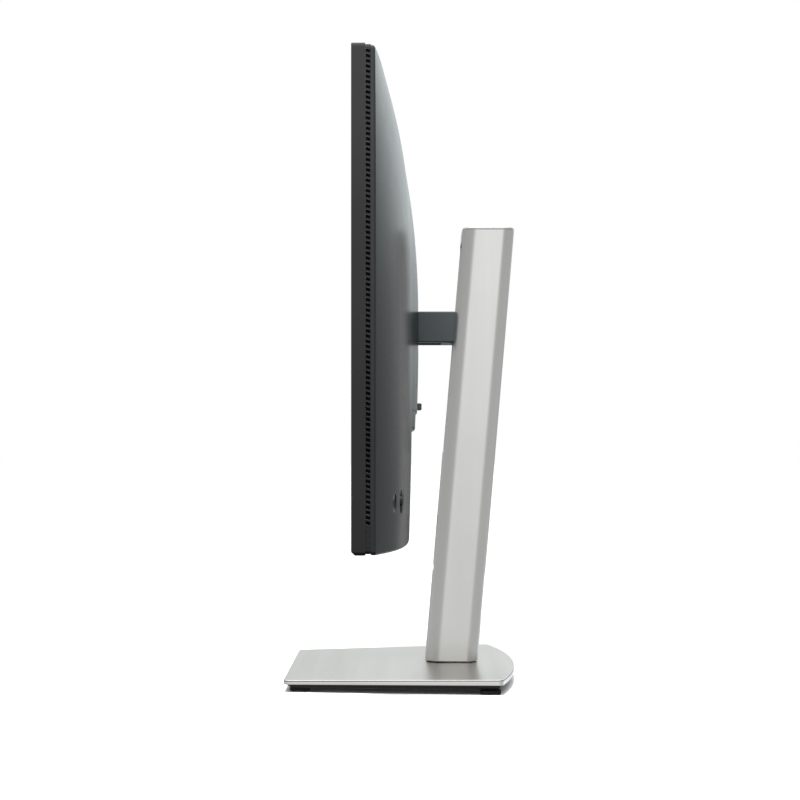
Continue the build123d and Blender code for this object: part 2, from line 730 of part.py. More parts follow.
def cable_slot_trim():
    outer = rounded_window(REAR_SLOT_HALF, REAR_SLOT_Z, (50, 90), REAR_SLOT_R)
    inner_z = (REAR_SLOT_Z[0] + TRIM_WIDTH, REAR_SLOT_Z[1] - TRIM_WIDTH)
    inner = rounded_window(REAR_SLOT_HALF - TRIM_WIDTH, inner_z, (40, 95), REAR_SLOT_R - TRIM_WIDTH)
    band = column_prism(0.3, (20, 120)) - column_prism(4.5, (15, 125))
    return (outer - inner) & band


def column_cap():
    lid = column_prism(0, (COLUMN_TOP, COLUMN_TOP + CAP_HEIGHT))
    top_edges = lid.faces().sort_by(Axis.Z)[-1].edges()
    return fillet(top_edges, 1.5)


def column_foot():
    block_in = column_prism(COLUMN_WALL, (COLUMN_BOTTOM, COLUMN_BOTTOM + 16))
    bores = [rod_z(SCREW_R + RUNNING_GAP, 0, SWIVEL_Y, (0, 40))]
    for x, y in disc_screw_points():
        bores.append(rod_z(1.8, x, y, (0, 40)))
    return block_in - bores


def rod_holes():
    return [rod_z(ROD_R, side * ROD_X, ROD_DEPTH, (100, 400)) for side in (-1, 1)]


def rod_holders():
    plate = block(sym(24), (-15, 8), (145, 151))
    upper = block(sym(24), (-15, 8), (along_column(COLUMN_TOP) - 6.2, along_column(COLUMN_TOP) - 2.2))
    holders = []
    for holder in (plate, upper):
        box = holder.bounding_box()
        holders.append(in_column(holder + block(sym(27), (-12, 5), (box.min.Z, box.max.Z)) - rod_holes()))
    return group(holders)


def slide_rods():
    rod = rod_z(ROD_R, ROD_X, ROD_DEPTH, (145, along_column(COLUMN_TOP) - 2.2))
    return mirrored_x(in_column(rod))


def carriage_envelope():
    middle = along_column(MOUNT_Z)
    return in_column(block(sym(25.5), (CARRIAGE_FRONT, CARRIAGE_REAR), around(middle, CARRIAGE_HALF)))


def carriage():
    middle = along_column(MOUNT_Z)
    body = block(sym(25.5), (CARRIAGE_FRONT, CARRIAGE_REAR), around(middle, CARRIAGE_HALF))
    body -= block(sym(12), (CARRIAGE_FRONT + 5, CARRIAGE_REAR + 1), around(middle, CARRIAGE_HALF - 5))
    for side in (-1, 1):
        body -= rod_z(BUSH_R, side * ROD_X, ROD_DEPTH, around(middle, 40))
    return in_column(body)


def carriage_bushes():
    middle = along_column(MOUNT_Z)
    bushes = []
    for side in (-1, 1):
        for z in (middle - CARRIAGE_HALF, middle + CARRIAGE_HALF - 10):
            bush = rod_z(BUSH_R, side * ROD_X, ROD_DEPTH, (z, z + 10))
            bush -= rod_z(ROD_R + RUNNING_GAP, side * ROD_X, ROD_DEPTH, (z - 1, z + 11))
            bushes.append(in_column(bush))
    return group(bushes)


def spring_spool():
    core = rod_x(SPOOL_CORE_R, sym(12), SPOOL_DEPTH, SPOOL_HEIGHT)
    for side in (-1, 1):
        core += rod_x(SPOOL_R, around(side * 11, 1), SPOOL_DEPTH, SPOOL_HEIGHT)
    core -= rod_x(SPOOL_PIN_R + RUNNING_GAP, sym(20), SPOOL_DEPTH, SPOOL_HEIGHT)
    return in_column(core)


def spring_coil():
    turns = rod_x(SPOOL_R - 0.6, sym(10), SPOOL_DEPTH, SPOOL_HEIGHT)
    turns -= rod_x(SPOOL_CORE_R, sym(12), SPOOL_DEPTH, SPOOL_HEIGHT)
    return in_column(turns)


def spool_pin():
    return in_column(rod_x(SPOOL_PIN_R, sym(27.0), SPOOL_DEPTH, SPOOL_HEIGHT))


# ---- stand: swivel, base and feet

def disc_screw_points():
    points = []
    for index in range(3):
        angle = math.radians(90 + 120 * index)
        points.append((14.4 * math.cos(angle), SWIVEL_Y + 14.4 * math.sin(angle)))
    return points


def swivel_disc():
    disc = rod_z(DISC_R, 0, SWIVEL_Y, (9.6, COLUMN_BOTTOM))
    disc += rod_z(FLANGE_R, 0, SWIVEL_Y, (8.4, 9.6))
    disc += rod_z(HUB_R, 0, SWIVEL_Y, (4.6, 8.4))
    disc -= rod_z(9.6, 0, SWIVEL_Y, (4, 7.6))
    disc -= rod_z(SCREW_R + RUNNING_GAP, 0, SWIVEL_Y, (4, 20))
    for x, y in disc_screw_points():
        disc -= rod_z(1.8, x, y, (0, 20))
        disc -= rod_z(3.0, x, y, (0, 6.6))
    return disc


def column_screws():
    screws = []
    for x, y in disc_screw_points():
        screws.append(rod_z(3.0, x, y, (4.8, 6.6)) + rod_z(1.8, x, y, (6.6, COLUMN_BOTTOM + 12)))
    return group(screws)


def swivel_retainer():
    return rod_z(24, 0, SWIVEL_Y, (3.6, 4.6)) - rod_z(17.8, 0, SWIVEL_Y, (0, 8))


def swivel_washer():
    ring = rod_z(27, 0, SWIVEL_Y, (WEIGHT_HIGH, WEIGHT_HIGH + 0.35))
    return ring - rod_z(20.5, 0, SWIVEL_Y, (0, 20))


def captive_screw():
    shank = rod_z(SCREW_R, 0, SWIVEL_Y, (7.3, COLUMN_BOTTOM + 14))
    head = rod_z(9.2, 0, SWIVEL_Y, (4.0, 7.3))
    groove = block(sym(8.4), (SWIVEL_Y - 3.4, SWIVEL_Y + 2.2), (0, 6.6))
    pin = rod_x(HANDLE_PIN_R, sym(8.6), SWIVEL_Y, HANDLE_PIN_Z)
    return shank + (head - groove) + pin


def screw_handle():
    barrel_r = 1.6
    low = (2.0, HANDLE_PIN_Z - barrel_r)
    loop = block(sym(7.9), (SWIVEL_Y, SWIVEL_Y + 22), low)
    loop -= block(sym(5.6), (SWIVEL_Y + 2.4, SWIVEL_Y + 19.6), (0, 8))
    barrel = rod_x(barrel_r, sym(7.9), SWIVEL_Y, HANDLE_PIN_Z)
    web = block(sym(7.9), (SWIVEL_Y, SWIVEL_Y + barrel_r), (low[1] - 0.2, HANDLE_PIN_Z))
    pin_hole = rod_x(HANDLE_PIN_R + RUNNING_GAP, sym(9), SWIVEL_Y, HANDLE_PIN_Z)
    return loop + barrel + web - pin_hole


def base_outline(inset, radius=BASE_CORNER_R):
    edge = Polyline((-BASE_REAR_HALF, BASE_CORNER_Y), (-BASE_FRONT_HALF, BASE_FRONT_Y),
                    (BASE_FRONT_HALF, BASE_FRONT_Y), (BASE_REAR_HALF, BASE_CORNER_Y))
    rear = ThreePointArc((BASE_REAR_HALF, BASE_CORNER_Y), (0, BASE_REAR_Y), (-BASE_REAR_HALF, BASE_CORNER_Y))
    face = make_face(edge + rear)
    if inset:
        face = offset(face, -inset, kind=Kind.INTERSECTION)
    return fillet(face.vertices(), radius)


def base_slab(inset, z):
    return extrude(Plane.XY.offset(z[0]) * base_outline(inset), amount=z[1] - z[0])


def above_slope(z_front, slope):
    """Half-space wedge above a plane that rises from the front edge to the rear."""
    side = Plane.YZ.offset(-200)
    y0 = BASE_FRONT_Y - 20
    y1 = BASE_REAR_Y + 20
    z0 = z_front + slope * (y0 - BASE_FRONT_Y)
    z1 = z_front + slope * (y1 - BASE_FRONT_Y)
    profile = make_face(Polyline((y0, z0), (y1, z1), (y1, 60), (y0, 60), (y0, z0)))
    return extrude(side * profile, amount=400)


def base_top_z(x, y):
    """Height of the base's top: a gentle slope with a low crown that meets the foot of the column."""
    length = CROWN_REAR if y > SWIVEL_Y else CROWN_FRONT
    across = max(0, 1 - (x / CROWN_HALF_WIDTH) ** 2) ** 2
    along = max(0, 1 - ((y - SWIVEL_Y) / length) ** 2) ** 2
    return TOP_FRONT_Z + TOP_SLOPE * (y - BASE_FRONT_Y) + CROWN_RISE * across * along


def below_base_top():
    """Solid under the crowned top, wider than the base all round."""
    x_lines = range(-136, 137, 8)
    y_lines = range(-100, 101, 5)
    grid = [[(x, y, base_top_z(x, y)) for x in x_lines] for y in y_lines]
    skin = Face.make_surface_from_array_of_points(grid, tol=0.02, min_deg=3, max_deg=5)
    return extrude(skin, amount=40, dir=(0, 0, -1))


def base_cover():
    plate = base_slab(0, (0, 20)) & below_base_top()
    plate = plate & above_slope(BAND_FRONT_Z, BAND_SLOPE)
    inside = base_slab(SKIRT_WALL, (0, 20)) - above_slope(TOP_FRONT_Z - BASE_WALL, TOP_SLOPE)
    return plate - inside - rod_z(DISC_R + 0.4, 0, SWIVEL_Y, (0, 20))


def base_weight():
    plate = base_slab(PAN_INSET + 6, (WEIGHT_LOW, WEIGHT_HIGH))
    return plate - rod_z(HUB_R + RUNNING_GAP, 0, SWIVEL_Y, (0, 20))


def base_pan():
    skirt_foot = Plane.XY.offset(PAN_BOTTOM) * base_outline(PAN_INSET + 4)
    skirt_top = Plane.XY.offset(PAN_BOTTOM + 2.8) * base_outline(PAN_INSET)
    tray = loft([skirt_foot, skirt_top]) + base_slab(PAN_INSET, (PAN_BOTTOM + 2.8, 12))
    tray -= above_slope(TOP_FRONT_Z - BASE_WALL - 0.2, TOP_SLOPE)
    tray -= base_slab(PAN_INSET + 5.6, (PAN_BOTTOM + PAN_FLOOR, 20))
    return tray - rod_z(PAN_HOLE_R, 0, SWIVEL_Y, (0, 20))


def rubber_feet():
    pads = []
    for x, y in ((95, -82.8), (118, 70.6), (36, 82)):
        for side in (-1, 1):
            pad = extrude(Plane.XY * (Pos(side * x, y) * RectangleRounded(13, 17, 4)), amount=PAN_BOTTOM)
            pads.append(chamfer(pad.faces().sort_by(Axis.Z)[0].edges(), 0.6))
    return group(pads)


PARTS = {
    "front_frame": front_frame,
    "bottom_bezel": bottom_bezel,
    "power_light": power_light,
    "lcd_panel": lcd_panel,
    "diffuser_sheets": diffuser_sheets,
    "light_guide": light_guide,
    "led_strip": led_strip,
    "backlight_tray": backlight_tray,
    "vent_frame": vent_frame,
    "rear_cover": rear_cover,
    "cover_screws": cover_screws,
    "electronics_chassis": electronics_chassis,
    "main_board": main_board,
    "power_board": power_board,
    "power_transformer": power_transformer,
    "capacitors": capacitors,
    "port_plate": port_plate,
    "hdmi_port": hdmi_port,
    "displayport_port": displayport_port,
    "usb_c_port": usb_c_port,
    "usb_a_ports": usb_a_ports,
    "ac_inlet": ac_inlet,
    "mount_bracket": mount_bracket,
    "key_board": key_board,
    "power_button": power_button,
    "joystick_plunger": joystick_plunger,
    "joystick_gimbal": joystick_gimbal,
    "joystick_cap": joystick_cap,
    "release_button": release_button,
    "release_latch": release_latch,
    "mounting_plate": mounting_plate,
    "mount_cover": mount_cover,
    "tilt_bracket": tilt_bracket,
    "pivot_shaft": pivot_shaft,
    "pivot_nut": pivot_nut,
    "pivot_washer": pivot_washer,
    "tilt_shaft": tilt_shaft,
    "tilt_washers": tilt_washers,
    "arm": arm,
    "carriage": carriage,
    "carriage_bushes": carriage_bushes,
    "column": column,
    "column_cap": column_cap,
    "cable_slot_trim": cable_slot_trim,
    "column_foot": column_foot,
    "rod_holders": rod_holders,
    "slide_rods": slide_rods,
    "spring_spool": spring_spool,
    "spring_coil": spring_coil,
    "spool_pin": spool_pin,
    "swivel_disc": swivel_disc,
    "column_screws": column_screws,
    "swivel_retainer": swivel_retainer,
    "swivel_washer": swivel_washer,
    "captive_screw": captive_screw,
    "screw_handle": screw_handle,
    "base_cover": base_cover,
    "base_weight": base_weight,
    "base_pan": base_pan,
    "rubber_feet": rubber_feet,
}


os.makedirs("parts", exist_ok=True)
for name, build in PARTS.items():
    export_step(build(), f"parts/{name}.step")
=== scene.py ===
import json
import math

import bmesh
import bpy
from mathutils import Matrix, Vector

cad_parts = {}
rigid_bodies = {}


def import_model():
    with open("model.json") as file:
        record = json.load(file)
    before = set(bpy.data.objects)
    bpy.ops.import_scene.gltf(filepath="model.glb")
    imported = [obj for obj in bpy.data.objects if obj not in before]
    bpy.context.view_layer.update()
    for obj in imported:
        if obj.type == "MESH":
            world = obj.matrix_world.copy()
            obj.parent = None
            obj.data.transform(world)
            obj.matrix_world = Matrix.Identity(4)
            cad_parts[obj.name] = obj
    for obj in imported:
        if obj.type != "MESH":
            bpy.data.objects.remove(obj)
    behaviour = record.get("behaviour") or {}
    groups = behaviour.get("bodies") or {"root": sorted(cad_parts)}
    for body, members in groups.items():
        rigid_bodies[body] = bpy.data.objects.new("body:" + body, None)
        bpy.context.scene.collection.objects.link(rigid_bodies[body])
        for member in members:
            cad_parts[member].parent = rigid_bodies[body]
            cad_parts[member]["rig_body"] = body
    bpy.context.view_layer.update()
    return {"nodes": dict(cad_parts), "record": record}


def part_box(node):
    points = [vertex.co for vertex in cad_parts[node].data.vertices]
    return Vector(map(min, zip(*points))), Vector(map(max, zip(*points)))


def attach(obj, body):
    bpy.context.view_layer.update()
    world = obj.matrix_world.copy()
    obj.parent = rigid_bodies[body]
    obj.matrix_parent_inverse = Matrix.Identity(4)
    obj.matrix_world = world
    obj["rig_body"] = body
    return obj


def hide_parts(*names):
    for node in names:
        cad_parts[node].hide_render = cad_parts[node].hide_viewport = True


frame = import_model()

# Lengths are millimetres until a mesh is made, and metres in Blender.
MM = 0.001


def span(node):
    """Lowest and highest corner of a CAD node, in millimetres."""
    low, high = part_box(node)
    return low / MM, high / MM


# ---------------------------------------------------------------- camera, light and floor

CAMERA_DISTANCE = 1.5
CAMERA_HEIGHT = 0.1915
CAMERA_LENS = 77.65
CAMERA_SHIFT = (-0.0036, 0.06875)


def add_camera():
    data = bpy.data.cameras.new("camera")
    data.sensor_width = 36.0
    data.lens = CAMERA_LENS
    data.shift_x, data.shift_y = CAMERA_SHIFT
    camera = bpy.data.objects.new("camera", data)
    camera.location = (CAMERA_DISTANCE, 0.0005, CAMERA_HEIGHT)
    camera.rotation_euler = (math.radians(90), 0, math.radians(90))
    bpy.context.scene.collection.objects.link(camera)
    bpy.context.scene.camera = camera


def add_area_light(name, location, target, size, watts):
    data = bpy.data.lights.new(name, "AREA")
    data.shape = "RECTANGLE"
    data.size, data.size_y = size
    data.energy = watts
    light = bpy.data.objects.new(name, data)
    light.location = location
    aim = Vector(target) - Vector(location)
    light.rotation_euler = aim.to_track_quat("-Z", "Y").to_euler()
    light.visible_glossy = False
    light.visible_camera = False
    bpy.context.scene.collection.objects.link(light)


def height_ramp(tree, height, stops, tint=(1, 1, 1)):
    """Tinted grey that follows the sine of a direction's elevation."""
    place = tree.nodes.new("ShaderNodeMapRange")
    place.inputs["From Min"].default_value = -1
    ramp = tree.nodes.new("ShaderNodeValToRGB")
    tree.links.new(height, place.inputs["Value"])
    tree.links.new(place.outputs[0], ramp.inputs["Fac"])
    elements = ramp.color_ramp.elements
    elements.remove(elements[1])
    for index, (sine, grey) in enumerate(stops):
        place = (sine + 1) / 2
        element = elements[0] if index == 0 else elements.new(place)
        element.position = place
        element.color = (*[grey * share for share in tint], 1)
    return ramp.outputs["Color"]


def blend_in(tree, first, second, value, low, high):
    """Goes from the first colour to the second while a value rises from low to high."""
    share = tree.nodes.new("ShaderNodeMapRange")
    share.interpolation_type = "SMOOTHSTEP"
    share.inputs["From Min"].default_value = low
    share.inputs["From Max"].default_value = high
    tree.links.new(value, share.inputs["Value"])
    mix = tree.nodes.new("ShaderNodeMix")
    mix.data_type = "RGBA"
    tree.links.new(share.outputs[0], mix.inputs["Factor"])
    tree.links.new(first, mix.inputs["A"])
    tree.links.new(second, mix.inputs["B"])
    return mix.outputs["Result"]


# Sine of the elevation, and brightness, of the four parts of the studio wall.
COOL = (0.94, 1.0, 1.015)
FAR_PANEL = ((-1.0, 0.05), (-0.20, 1.0), (-0.125, 0.9), (-0.095, 0.06), (0.0, 0.26), (0.035, 0.60),
             (0.10, 0.90), (0.15, 1.26), (0.25, 1.42))
FAR_CORNERS = ((-1.0, 0.05), (-0.20, 1.1), (-0.125, 1.0), (-0.095, 0.26), (0.0, 0.40), (0.10, 0.52),
               (0.15, 1.25), (0.20, 1.70), (0.32, 1.6))
SIDES = ((-1.0, 0.15), (-0.35, 0.40), (-0.15, 0.55), (0.0, 0.49), (0.10, 0.42), (0.25, 0.36), (0.50, 0.60),
         (0.9, 1.0))
NEAR_PANEL = ((-1.0, 0.10), (-0.35, 0.28), (-0.18, 0.82), (-0.13, 0.76), (-0.105, 0.57), (-0.03, 0.84),
              (0.02, 0.97), (0.2, 1.18))


def add_world():
    """White backdrop for the camera, and a studio of soft panels for light and reflections."""
    world = bpy.data.worlds.new("studio")
    bpy.context.scene.world = world
    world.use_nodes = True
    tree = world.node_tree
    tree.nodes.clear()
    output = tree.nodes.new("ShaderNodeOutputWorld")
    coords = tree.nodes.new("ShaderNodeTexCoord")
    split = tree.nodes.new("ShaderNodeSeparateXYZ")
    tree.links.new(coords.outputs["Generated"], split.inputs[0])
    x, y, z = split.outputs
    far = height_ramp(tree, z, FAR_PANEL, COOL)
    corners = height_ramp(tree, z, FAR_CORNERS, COOL)
    sides = height_ramp(tree, z, SIDES)
    near = height_ramp(tree, z, NEAR_PANEL)
    colour = blend_in(tree, far, corners, x, -0.97, -0.88)
    colour = blend_in(tree, sides, colour, y, -0.30, 0.0)
    colour = blend_in(tree, colour, sides, x, -0.80, -0.55)
    colour = blend_in(tree, colour, near, x, 0.89, 0.98)
    studio = tree.nodes.new("ShaderNodeBackground")
    tree.links.new(colour, studio.inputs["Color"])
    backdrop = tree.nodes.new("ShaderNodeBackground")
    backdrop.inputs["Color"].default_value = (1, 1, 1, 1)
    path = tree.nodes.new("ShaderNodeLightPath")
    mix = tree.nodes.new("ShaderNodeMixShader")
    tree.links.new(path.outputs["Is Camera Ray"], mix.inputs["Fac"])
    tree.links.new(studio.outputs[0], mix.inputs[1])
    tree.links.new(backdrop.outputs[0], mix.inputs[2])
    tree.links.new(mix.outputs[0], output.inputs["Surface"])


def add_floor():
    """Pale floor, seen by the camera only, so that it doesn't light the object from below."""
    size = 30.0
    mesh = bpy.data.meshes.new("floor")
    corners = [(-size, -size, 0), (size, -size, 0), (size, size, 0), (-size, size, 0)]
    mesh.from_pydata(corners, [], [(0, 1, 2, 3)])
    floor = bpy.data.objects.new("floor", mesh)
    bpy.context.scene.collection.objects.link(floor)
    material = bpy.data.materials.new("floor")
    material.use_nodes = True
    shader = material.node_tree.nodes["Principled BSDF"]
    shader.inputs["Base Color"].default_value = (0.92, 0.92, 0.92, 1)
    shader.inputs["Roughness"].default_value = 0.9
    shader.inputs["Specular IOR Level"].default_value = 0.0
    mesh.materials.append(material)
    floor.visible_diffuse = False
    floor.visible_glossy = False


def add_sun(strength, angle):
    """Broad light straight down, that whitens the floor evenly and leaves a soft shadow."""
    data = bpy.data.lights.new("overhead", "SUN")
    data.energy = strength
    data.angle = math.radians(angle)
    light = bpy.data.objects.new("overhead", data)
    bpy.context.scene.collection.objects.link(light)


def add_stage():
    add_camera()
    add_world()
    add_floor()
    add_sun(1.6, 70)
    add_area_light("key", (0.65, -0.1, 1.0), (0.3, 0, 0.4), (0.4, 0.4), 26)
    settings = bpy.context.scene.view_settings
    settings.view_transform = "Standard"
    settings.look = "None"


# ---------------------------------------------------------------- materials

def noise(tree, scale, detail=2.0, stretch=(1, 1, 1), rotate=(0, 0, 0)):
    """Noise in the object's own coordinates, in metres, with its colour socket left unused."""
    coords = tree.nodes.new("ShaderNodeTexCoord")
    mapping = tree.nodes.new("ShaderNodeMapping")
    mapping.inputs["Scale"].default_value = stretch
    mapping.inputs["Rotation"].default_value = rotate
    texture = tree.nodes.new("ShaderNodeTexNoise")
    texture.inputs["Scale"].default_value = scale
    texture.inputs["Detail"].default_value = detail
    tree.links.new(coords.outputs["Object"], mapping.inputs["Vector"])
    tree.links.new(mapping.outputs[0], texture.inputs["Vector"])
    return texture.outputs["Fac"]


def spread(tree, value, low, high):
    """The middle half of a noise, spread over low to high."""
    scaled = tree.nodes.new("ShaderNodeMapRange")
    scaled.inputs["From Min"].default_value = 0.3
    scaled.inputs["From Max"].default_value = 0.7
    scaled.inputs["To Min"].default_value = low
    scaled.inputs["To Max"].default_value = high
    tree.links.new(value, scaled.inputs["Value"])
    return scaled.outputs[0]


def surface(name, colour, metallic=0.0, roughness=0.5, specular=0.5, grain=900.0, depth=0.00004,
            mottle=0.06, scuff=0.05, stretch=(1, 1, 1), rotate=(0, 0, 0)):
    """Moulded or coated surface: fine grain in the bump, drifting colour, and uneven roughness."""
    material = bpy.data.materials.new(name)
    material.use_nodes = True
    tree = material.node_tree
    shader = tree.nodes["Principled BSDF"]
    shader.inputs["Metallic"].default_value = metallic
    shader.inputs["Specular IOR Level"].default_value = specular
    drift = spread(tree, noise(tree, 14.0, 4.0), 0.0, 1.0)
    mix = tree.nodes.new("ShaderNodeMix")
    mix.data_type = "RGBA"
    tree.links.new(drift, mix.inputs["Factor"])
    mix.inputs["A"].default_value = (*[c * (1 - mottle) for c in colour], 1)
    mix.inputs["B"].default_value = (*[min(1.0, c * (1 + mottle)) for c in colour], 1)
    tree.links.new(mix.outputs["Result"], shader.inputs["Base Color"])
    wear = noise(tree, 60.0, 6.0, stretch, rotate)
    tree.links.new(spread(tree, wear, roughness - scuff, roughness + scuff), shader.inputs["Roughness"])
    bump = tree.nodes.new("ShaderNodeBump")
    bump.inputs["Strength"].default_value = 0.35
    bump.inputs["Distance"].default_value = depth
    tree.links.new(noise(tree, grain, 2.0, stretch, rotate), bump.inputs["Height"])
    tree.links.new(bump.outputs["Normal"], shader.inputs["Normal"])
    return material


LENGTHWAYS = (1, 1, 0.04)

MATERIALS = {
    "frame_plastic": surface("frame_plastic", (0.015, 0.015, 0.015), roughness=0.42, specular=0.1),
    "cover_plastic": surface("cover_plastic", (0.016, 0.0185, 0.0195), roughness=0.25, specular=0.12,
                             depth=0.000006, scuff=0.012),
    "trim_plastic": surface("trim_plastic", (0.50, 0.50, 0.48), metallic=0.6, roughness=0.42),
    # black_plastic is the tray's own colour, and is also used as painted shade in the base's groove.
    "black_plastic": surface("black_plastic", (0.022, 0.022, 0.021), roughness=0.55),
    # vent_black is near-black painted shade: it covers the sheet behind the vent slots and the walls of the
    # joystick's dish.
    "vent_black": surface("vent_black", (0.003, 0.003, 0.003), roughness=0.8, specular=0.1),
    "glide_plastic": surface("glide_plastic", (0.72, 0.70, 0.64), roughness=0.45),
    "lens": surface("lens", (0.80, 0.83, 0.85), roughness=0.15, mottle=0.02),
    "panel_glass": surface("panel_glass", (0.008, 0.008, 0.010), roughness=0.30, grain=2600.0, depth=0.00001,
                           mottle=0.03, scuff=0.02),
    "panel_border": surface("panel_border", (0.004, 0.004, 0.005), roughness=0.24, grain=2600.0,
                            depth=0.00001, scuff=0.02),
    "film": surface("film", (0.85, 0.85, 0.84), roughness=0.6, mottle=0.02),
    "acrylic": surface("acrylic", (0.82, 0.88, 0.88), roughness=0.2, mottle=0.02),
    "circuit_board": surface("circuit_board", (0.020, 0.110, 0.050), roughness=0.45, grain=500.0),
    "ferrite": surface("ferrite", (0.045, 0.045, 0.050), roughness=0.65),
    "can_metal": surface("can_metal", (0.10, 0.12, 0.20), metallic=0.2, roughness=0.35),
    "port_metal": surface("port_metal", (0.62, 0.62, 0.62), metallic=1.0, roughness=0.30),
    "sheet_steel": surface("sheet_steel", (0.52, 0.53, 0.54), metallic=1.0, roughness=0.42, grain=160.0,
                           mottle=0.14, scuff=0.12),
    "steel": surface("steel", (0.50, 0.50, 0.50), metallic=1.0, roughness=0.34, stretch=(1, 0.1, 1)),
    "spring_steel": surface("spring_steel", (0.30, 0.32, 0.35), metallic=1.0, roughness=0.30),
    "cast_zinc": surface("cast_zinc", (0.34, 0.34, 0.35), metallic=0.8, roughness=0.52, grain=300.0,
                         depth=0.0001),
    "key_plastic": surface("key_plastic", (0.060, 0.063, 0.064), roughness=0.40, specular=0.2),
    "arm_paint": surface("arm_paint", (0.042, 0.048, 0.050), roughness=0.45, specular=0.2),
    "column_paint": surface("column_paint", (0.78, 0.785, 0.76), metallic=1.0, roughness=0.30, grain=1400.0,
                            depth=0.00002, mottle=0.02, scuff=0.04, stretch=LENGTHWAYS),
    "base_satin": surface("base_satin", (0.400, 0.380, 0.352), metallic=1.0, roughness=0.34, grain=1400.0,
                          depth=0.00002, mottle=0.02, scuff=0.04, stretch=(0.04, 1, 1)),
    "bright_edge": surface("bright_edge", (0.92, 0.92, 0.90), metallic=1.0, roughness=0.22, grain=1800.0,
                           depth=0.00001, mottle=0.02, scuff=0.03, stretch=(0.06, 0.06, 1)),
    "rubber": surface("rubber", (0.016, 0.016, 0.016), roughness=0.8, specular=0.3, grain=500.0,
                      depth=0.0001),
}


def paint_cad_nodes():
    """Give every carried-over CAD node the material of its own slot."""
    slots = {part["node"]: part["material_slot"] for part in frame["record"]["subparts"]}
    for name, node in frame["nodes"].items():
        node.data.materials.clear()
        node.data.materials.append(MATERIALS[slots[name]])


# ---------------------------------------------------------------- mesh helpers

def inset_corners(corners, distance):
    """Corners of a convex counter-clockwise polygon, moved inwards by a distance."""
    moved = []
    count = len(corners)
    for index, corner in enumerate(corners):
        before = (Vector(corner) - Vector(corners[index - 1])).normalized()
        after = (Vector(corners[(index + 1) % count]) - Vector(corner)).normalized()
        normal_before = Vector((-before.y, before.x))
        normal_after = Vector((-after.y, after.x))
        bisector = normal_before + normal_after
        moved.append(Vector(corner) + bisector * (distance / bisector.dot(normal_before)))
    return moved


def outline(corners, radii, inset=0.0, steps=6, divisions=None):
    """Points round a convex polygon with rounded corners. Straight sides get extra points if asked."""
    moved = inset_corners(corners, inset)
    count = len(moved)
    points = []
    for index, corner in enumerate(moved):
        before = (moved[index - 1] - corner).normalized()
        after = (moved[(index + 1) % count] - corner).normalized()
        half = before.angle(after) / 2
        radius = max(radii[index] - inset, 0.05)
        centre = corner + (before + after).normalized() * (radius / math.sin(half))
        start = corner + before * (radius / math.tan(half)) - centre
        turn = math.pi - 2 * half
        for step in range(steps + 1):
            points.append(centre + Matrix.Rotation(turn * step / steps, 2) @ start)
        if divisions:
            following = moved[(index + 1) % count]
            leave = points[-1]
            next_before = (corner - following).normalized()
            next_after = (moved[(index + 2) % count] - following).normalized()
            next_half = next_before.angle(next_after) / 2
            next_radius = max(radii[(index + 1) % count] - inset, 0.05)
            arrive = following + next_before * (next_radius / math.tan(next_half))
            for division in range(1, divisions[index]):
                points.append(leave.lerp(arrive, division / divisions[index]))
    return points


def rectangle(half_width, low, high):
    """Counter-clockwise corners of a rectangle that is centred across the first axis."""
    return [(-half_width, low), (half_width, low), (half_width, high), (-half_width, high)]


def add_rings(bm, rings, closed=False, caps=True, material=0):
    """Skin over rings of points with equal counts. Closed joins the last ring to the first."""
    made = [[bm.verts.new(point) for point in ring] for ring in rings]
    pairs = list(zip(made, made[1:]))
    if closed:
        pairs.append((made[-1], made[0]))
    faces = []
    for first, second in pairs:
        for index in range(len(first)):
            follow = (index + 1) % len(first)
            faces.append(bm.faces.new((first[index], first[follow], second[follow], second[index])))
    if caps and not closed:
        faces.append(bm.faces.new(list(reversed(made[0]))))
        faces.append(bm.faces.new(made[-1]))
    for face in faces:
        face.material_index = material
    bmesh.ops.recalc_face_normals(bm, faces=bm.faces)
    return faces


def block(x, y, z, material=0):
    """Closed box between two values along each axis."""
    bm = bmesh.new()
    rings = [[(x[0], y[0], level), (x[1], y[0], level), (x[1], y[1], level), (x[0], y[1], level)]
             for level in z]
    add_rings(bm, rings, material=material)
    return bm


def lathe(axis, centre, profile, steps=48, material=0):
    """Solid of revolution: the profile is (radius, distance along the axis) from one end to the other."""
    bm = bmesh.new()
    rings = []
    for radius, along in profile:
        ring = []
        for step in range(steps):
            angle = 2 * math.pi * step / steps
            a, b = radius * math.cos(angle), radius * math.sin(angle)
            offset = {"x": (along, a, b), "y": (a, along, b), "z": (a, b, along)}[axis]
            ring.append([c + o for c, o in zip(centre, offset)])
        rings.append(ring)
    add_rings(bm, rings, material=material)
    return bm


def joined(meshes):
    """Several bmeshes as one."""
    whole = bmesh.new()
    for part in meshes:
        holder = bpy.data.meshes.new("part")
        part.to_mesh(holder)
        part.free()
        whole.from_mesh(holder)
        bpy.data.meshes.remove(holder)
    return whole


def combine(bm, tool, operation):
    """Boolean of two closed bmeshes, which are both used up."""
    objects = []
    for shape in (bm, tool):
        holder = bpy.data.meshes.new("operand")
        shape.to_mesh(holder)
        shape.free()
        obj = bpy.data.objects.new("operand", holder)
        bpy.context.scene.collection.objects.link(obj)
        objects.append(obj)
    modifier = objects[0].modifiers.new("boolean", "BOOLEAN")
    modifier.operation = operation
    modifier.solver = "EXACT"
    modifier.object = objects[1]
    result = bmesh.new()
    result.from_object(objects[0], bpy.context.evaluated_depsgraph_get())
    for obj in objects:
        bpy.data.meshes.remove(obj.data)
    return result


def carve(bm, *tools):
    return combine(bm, joined(tools), "DIFFERENCE")


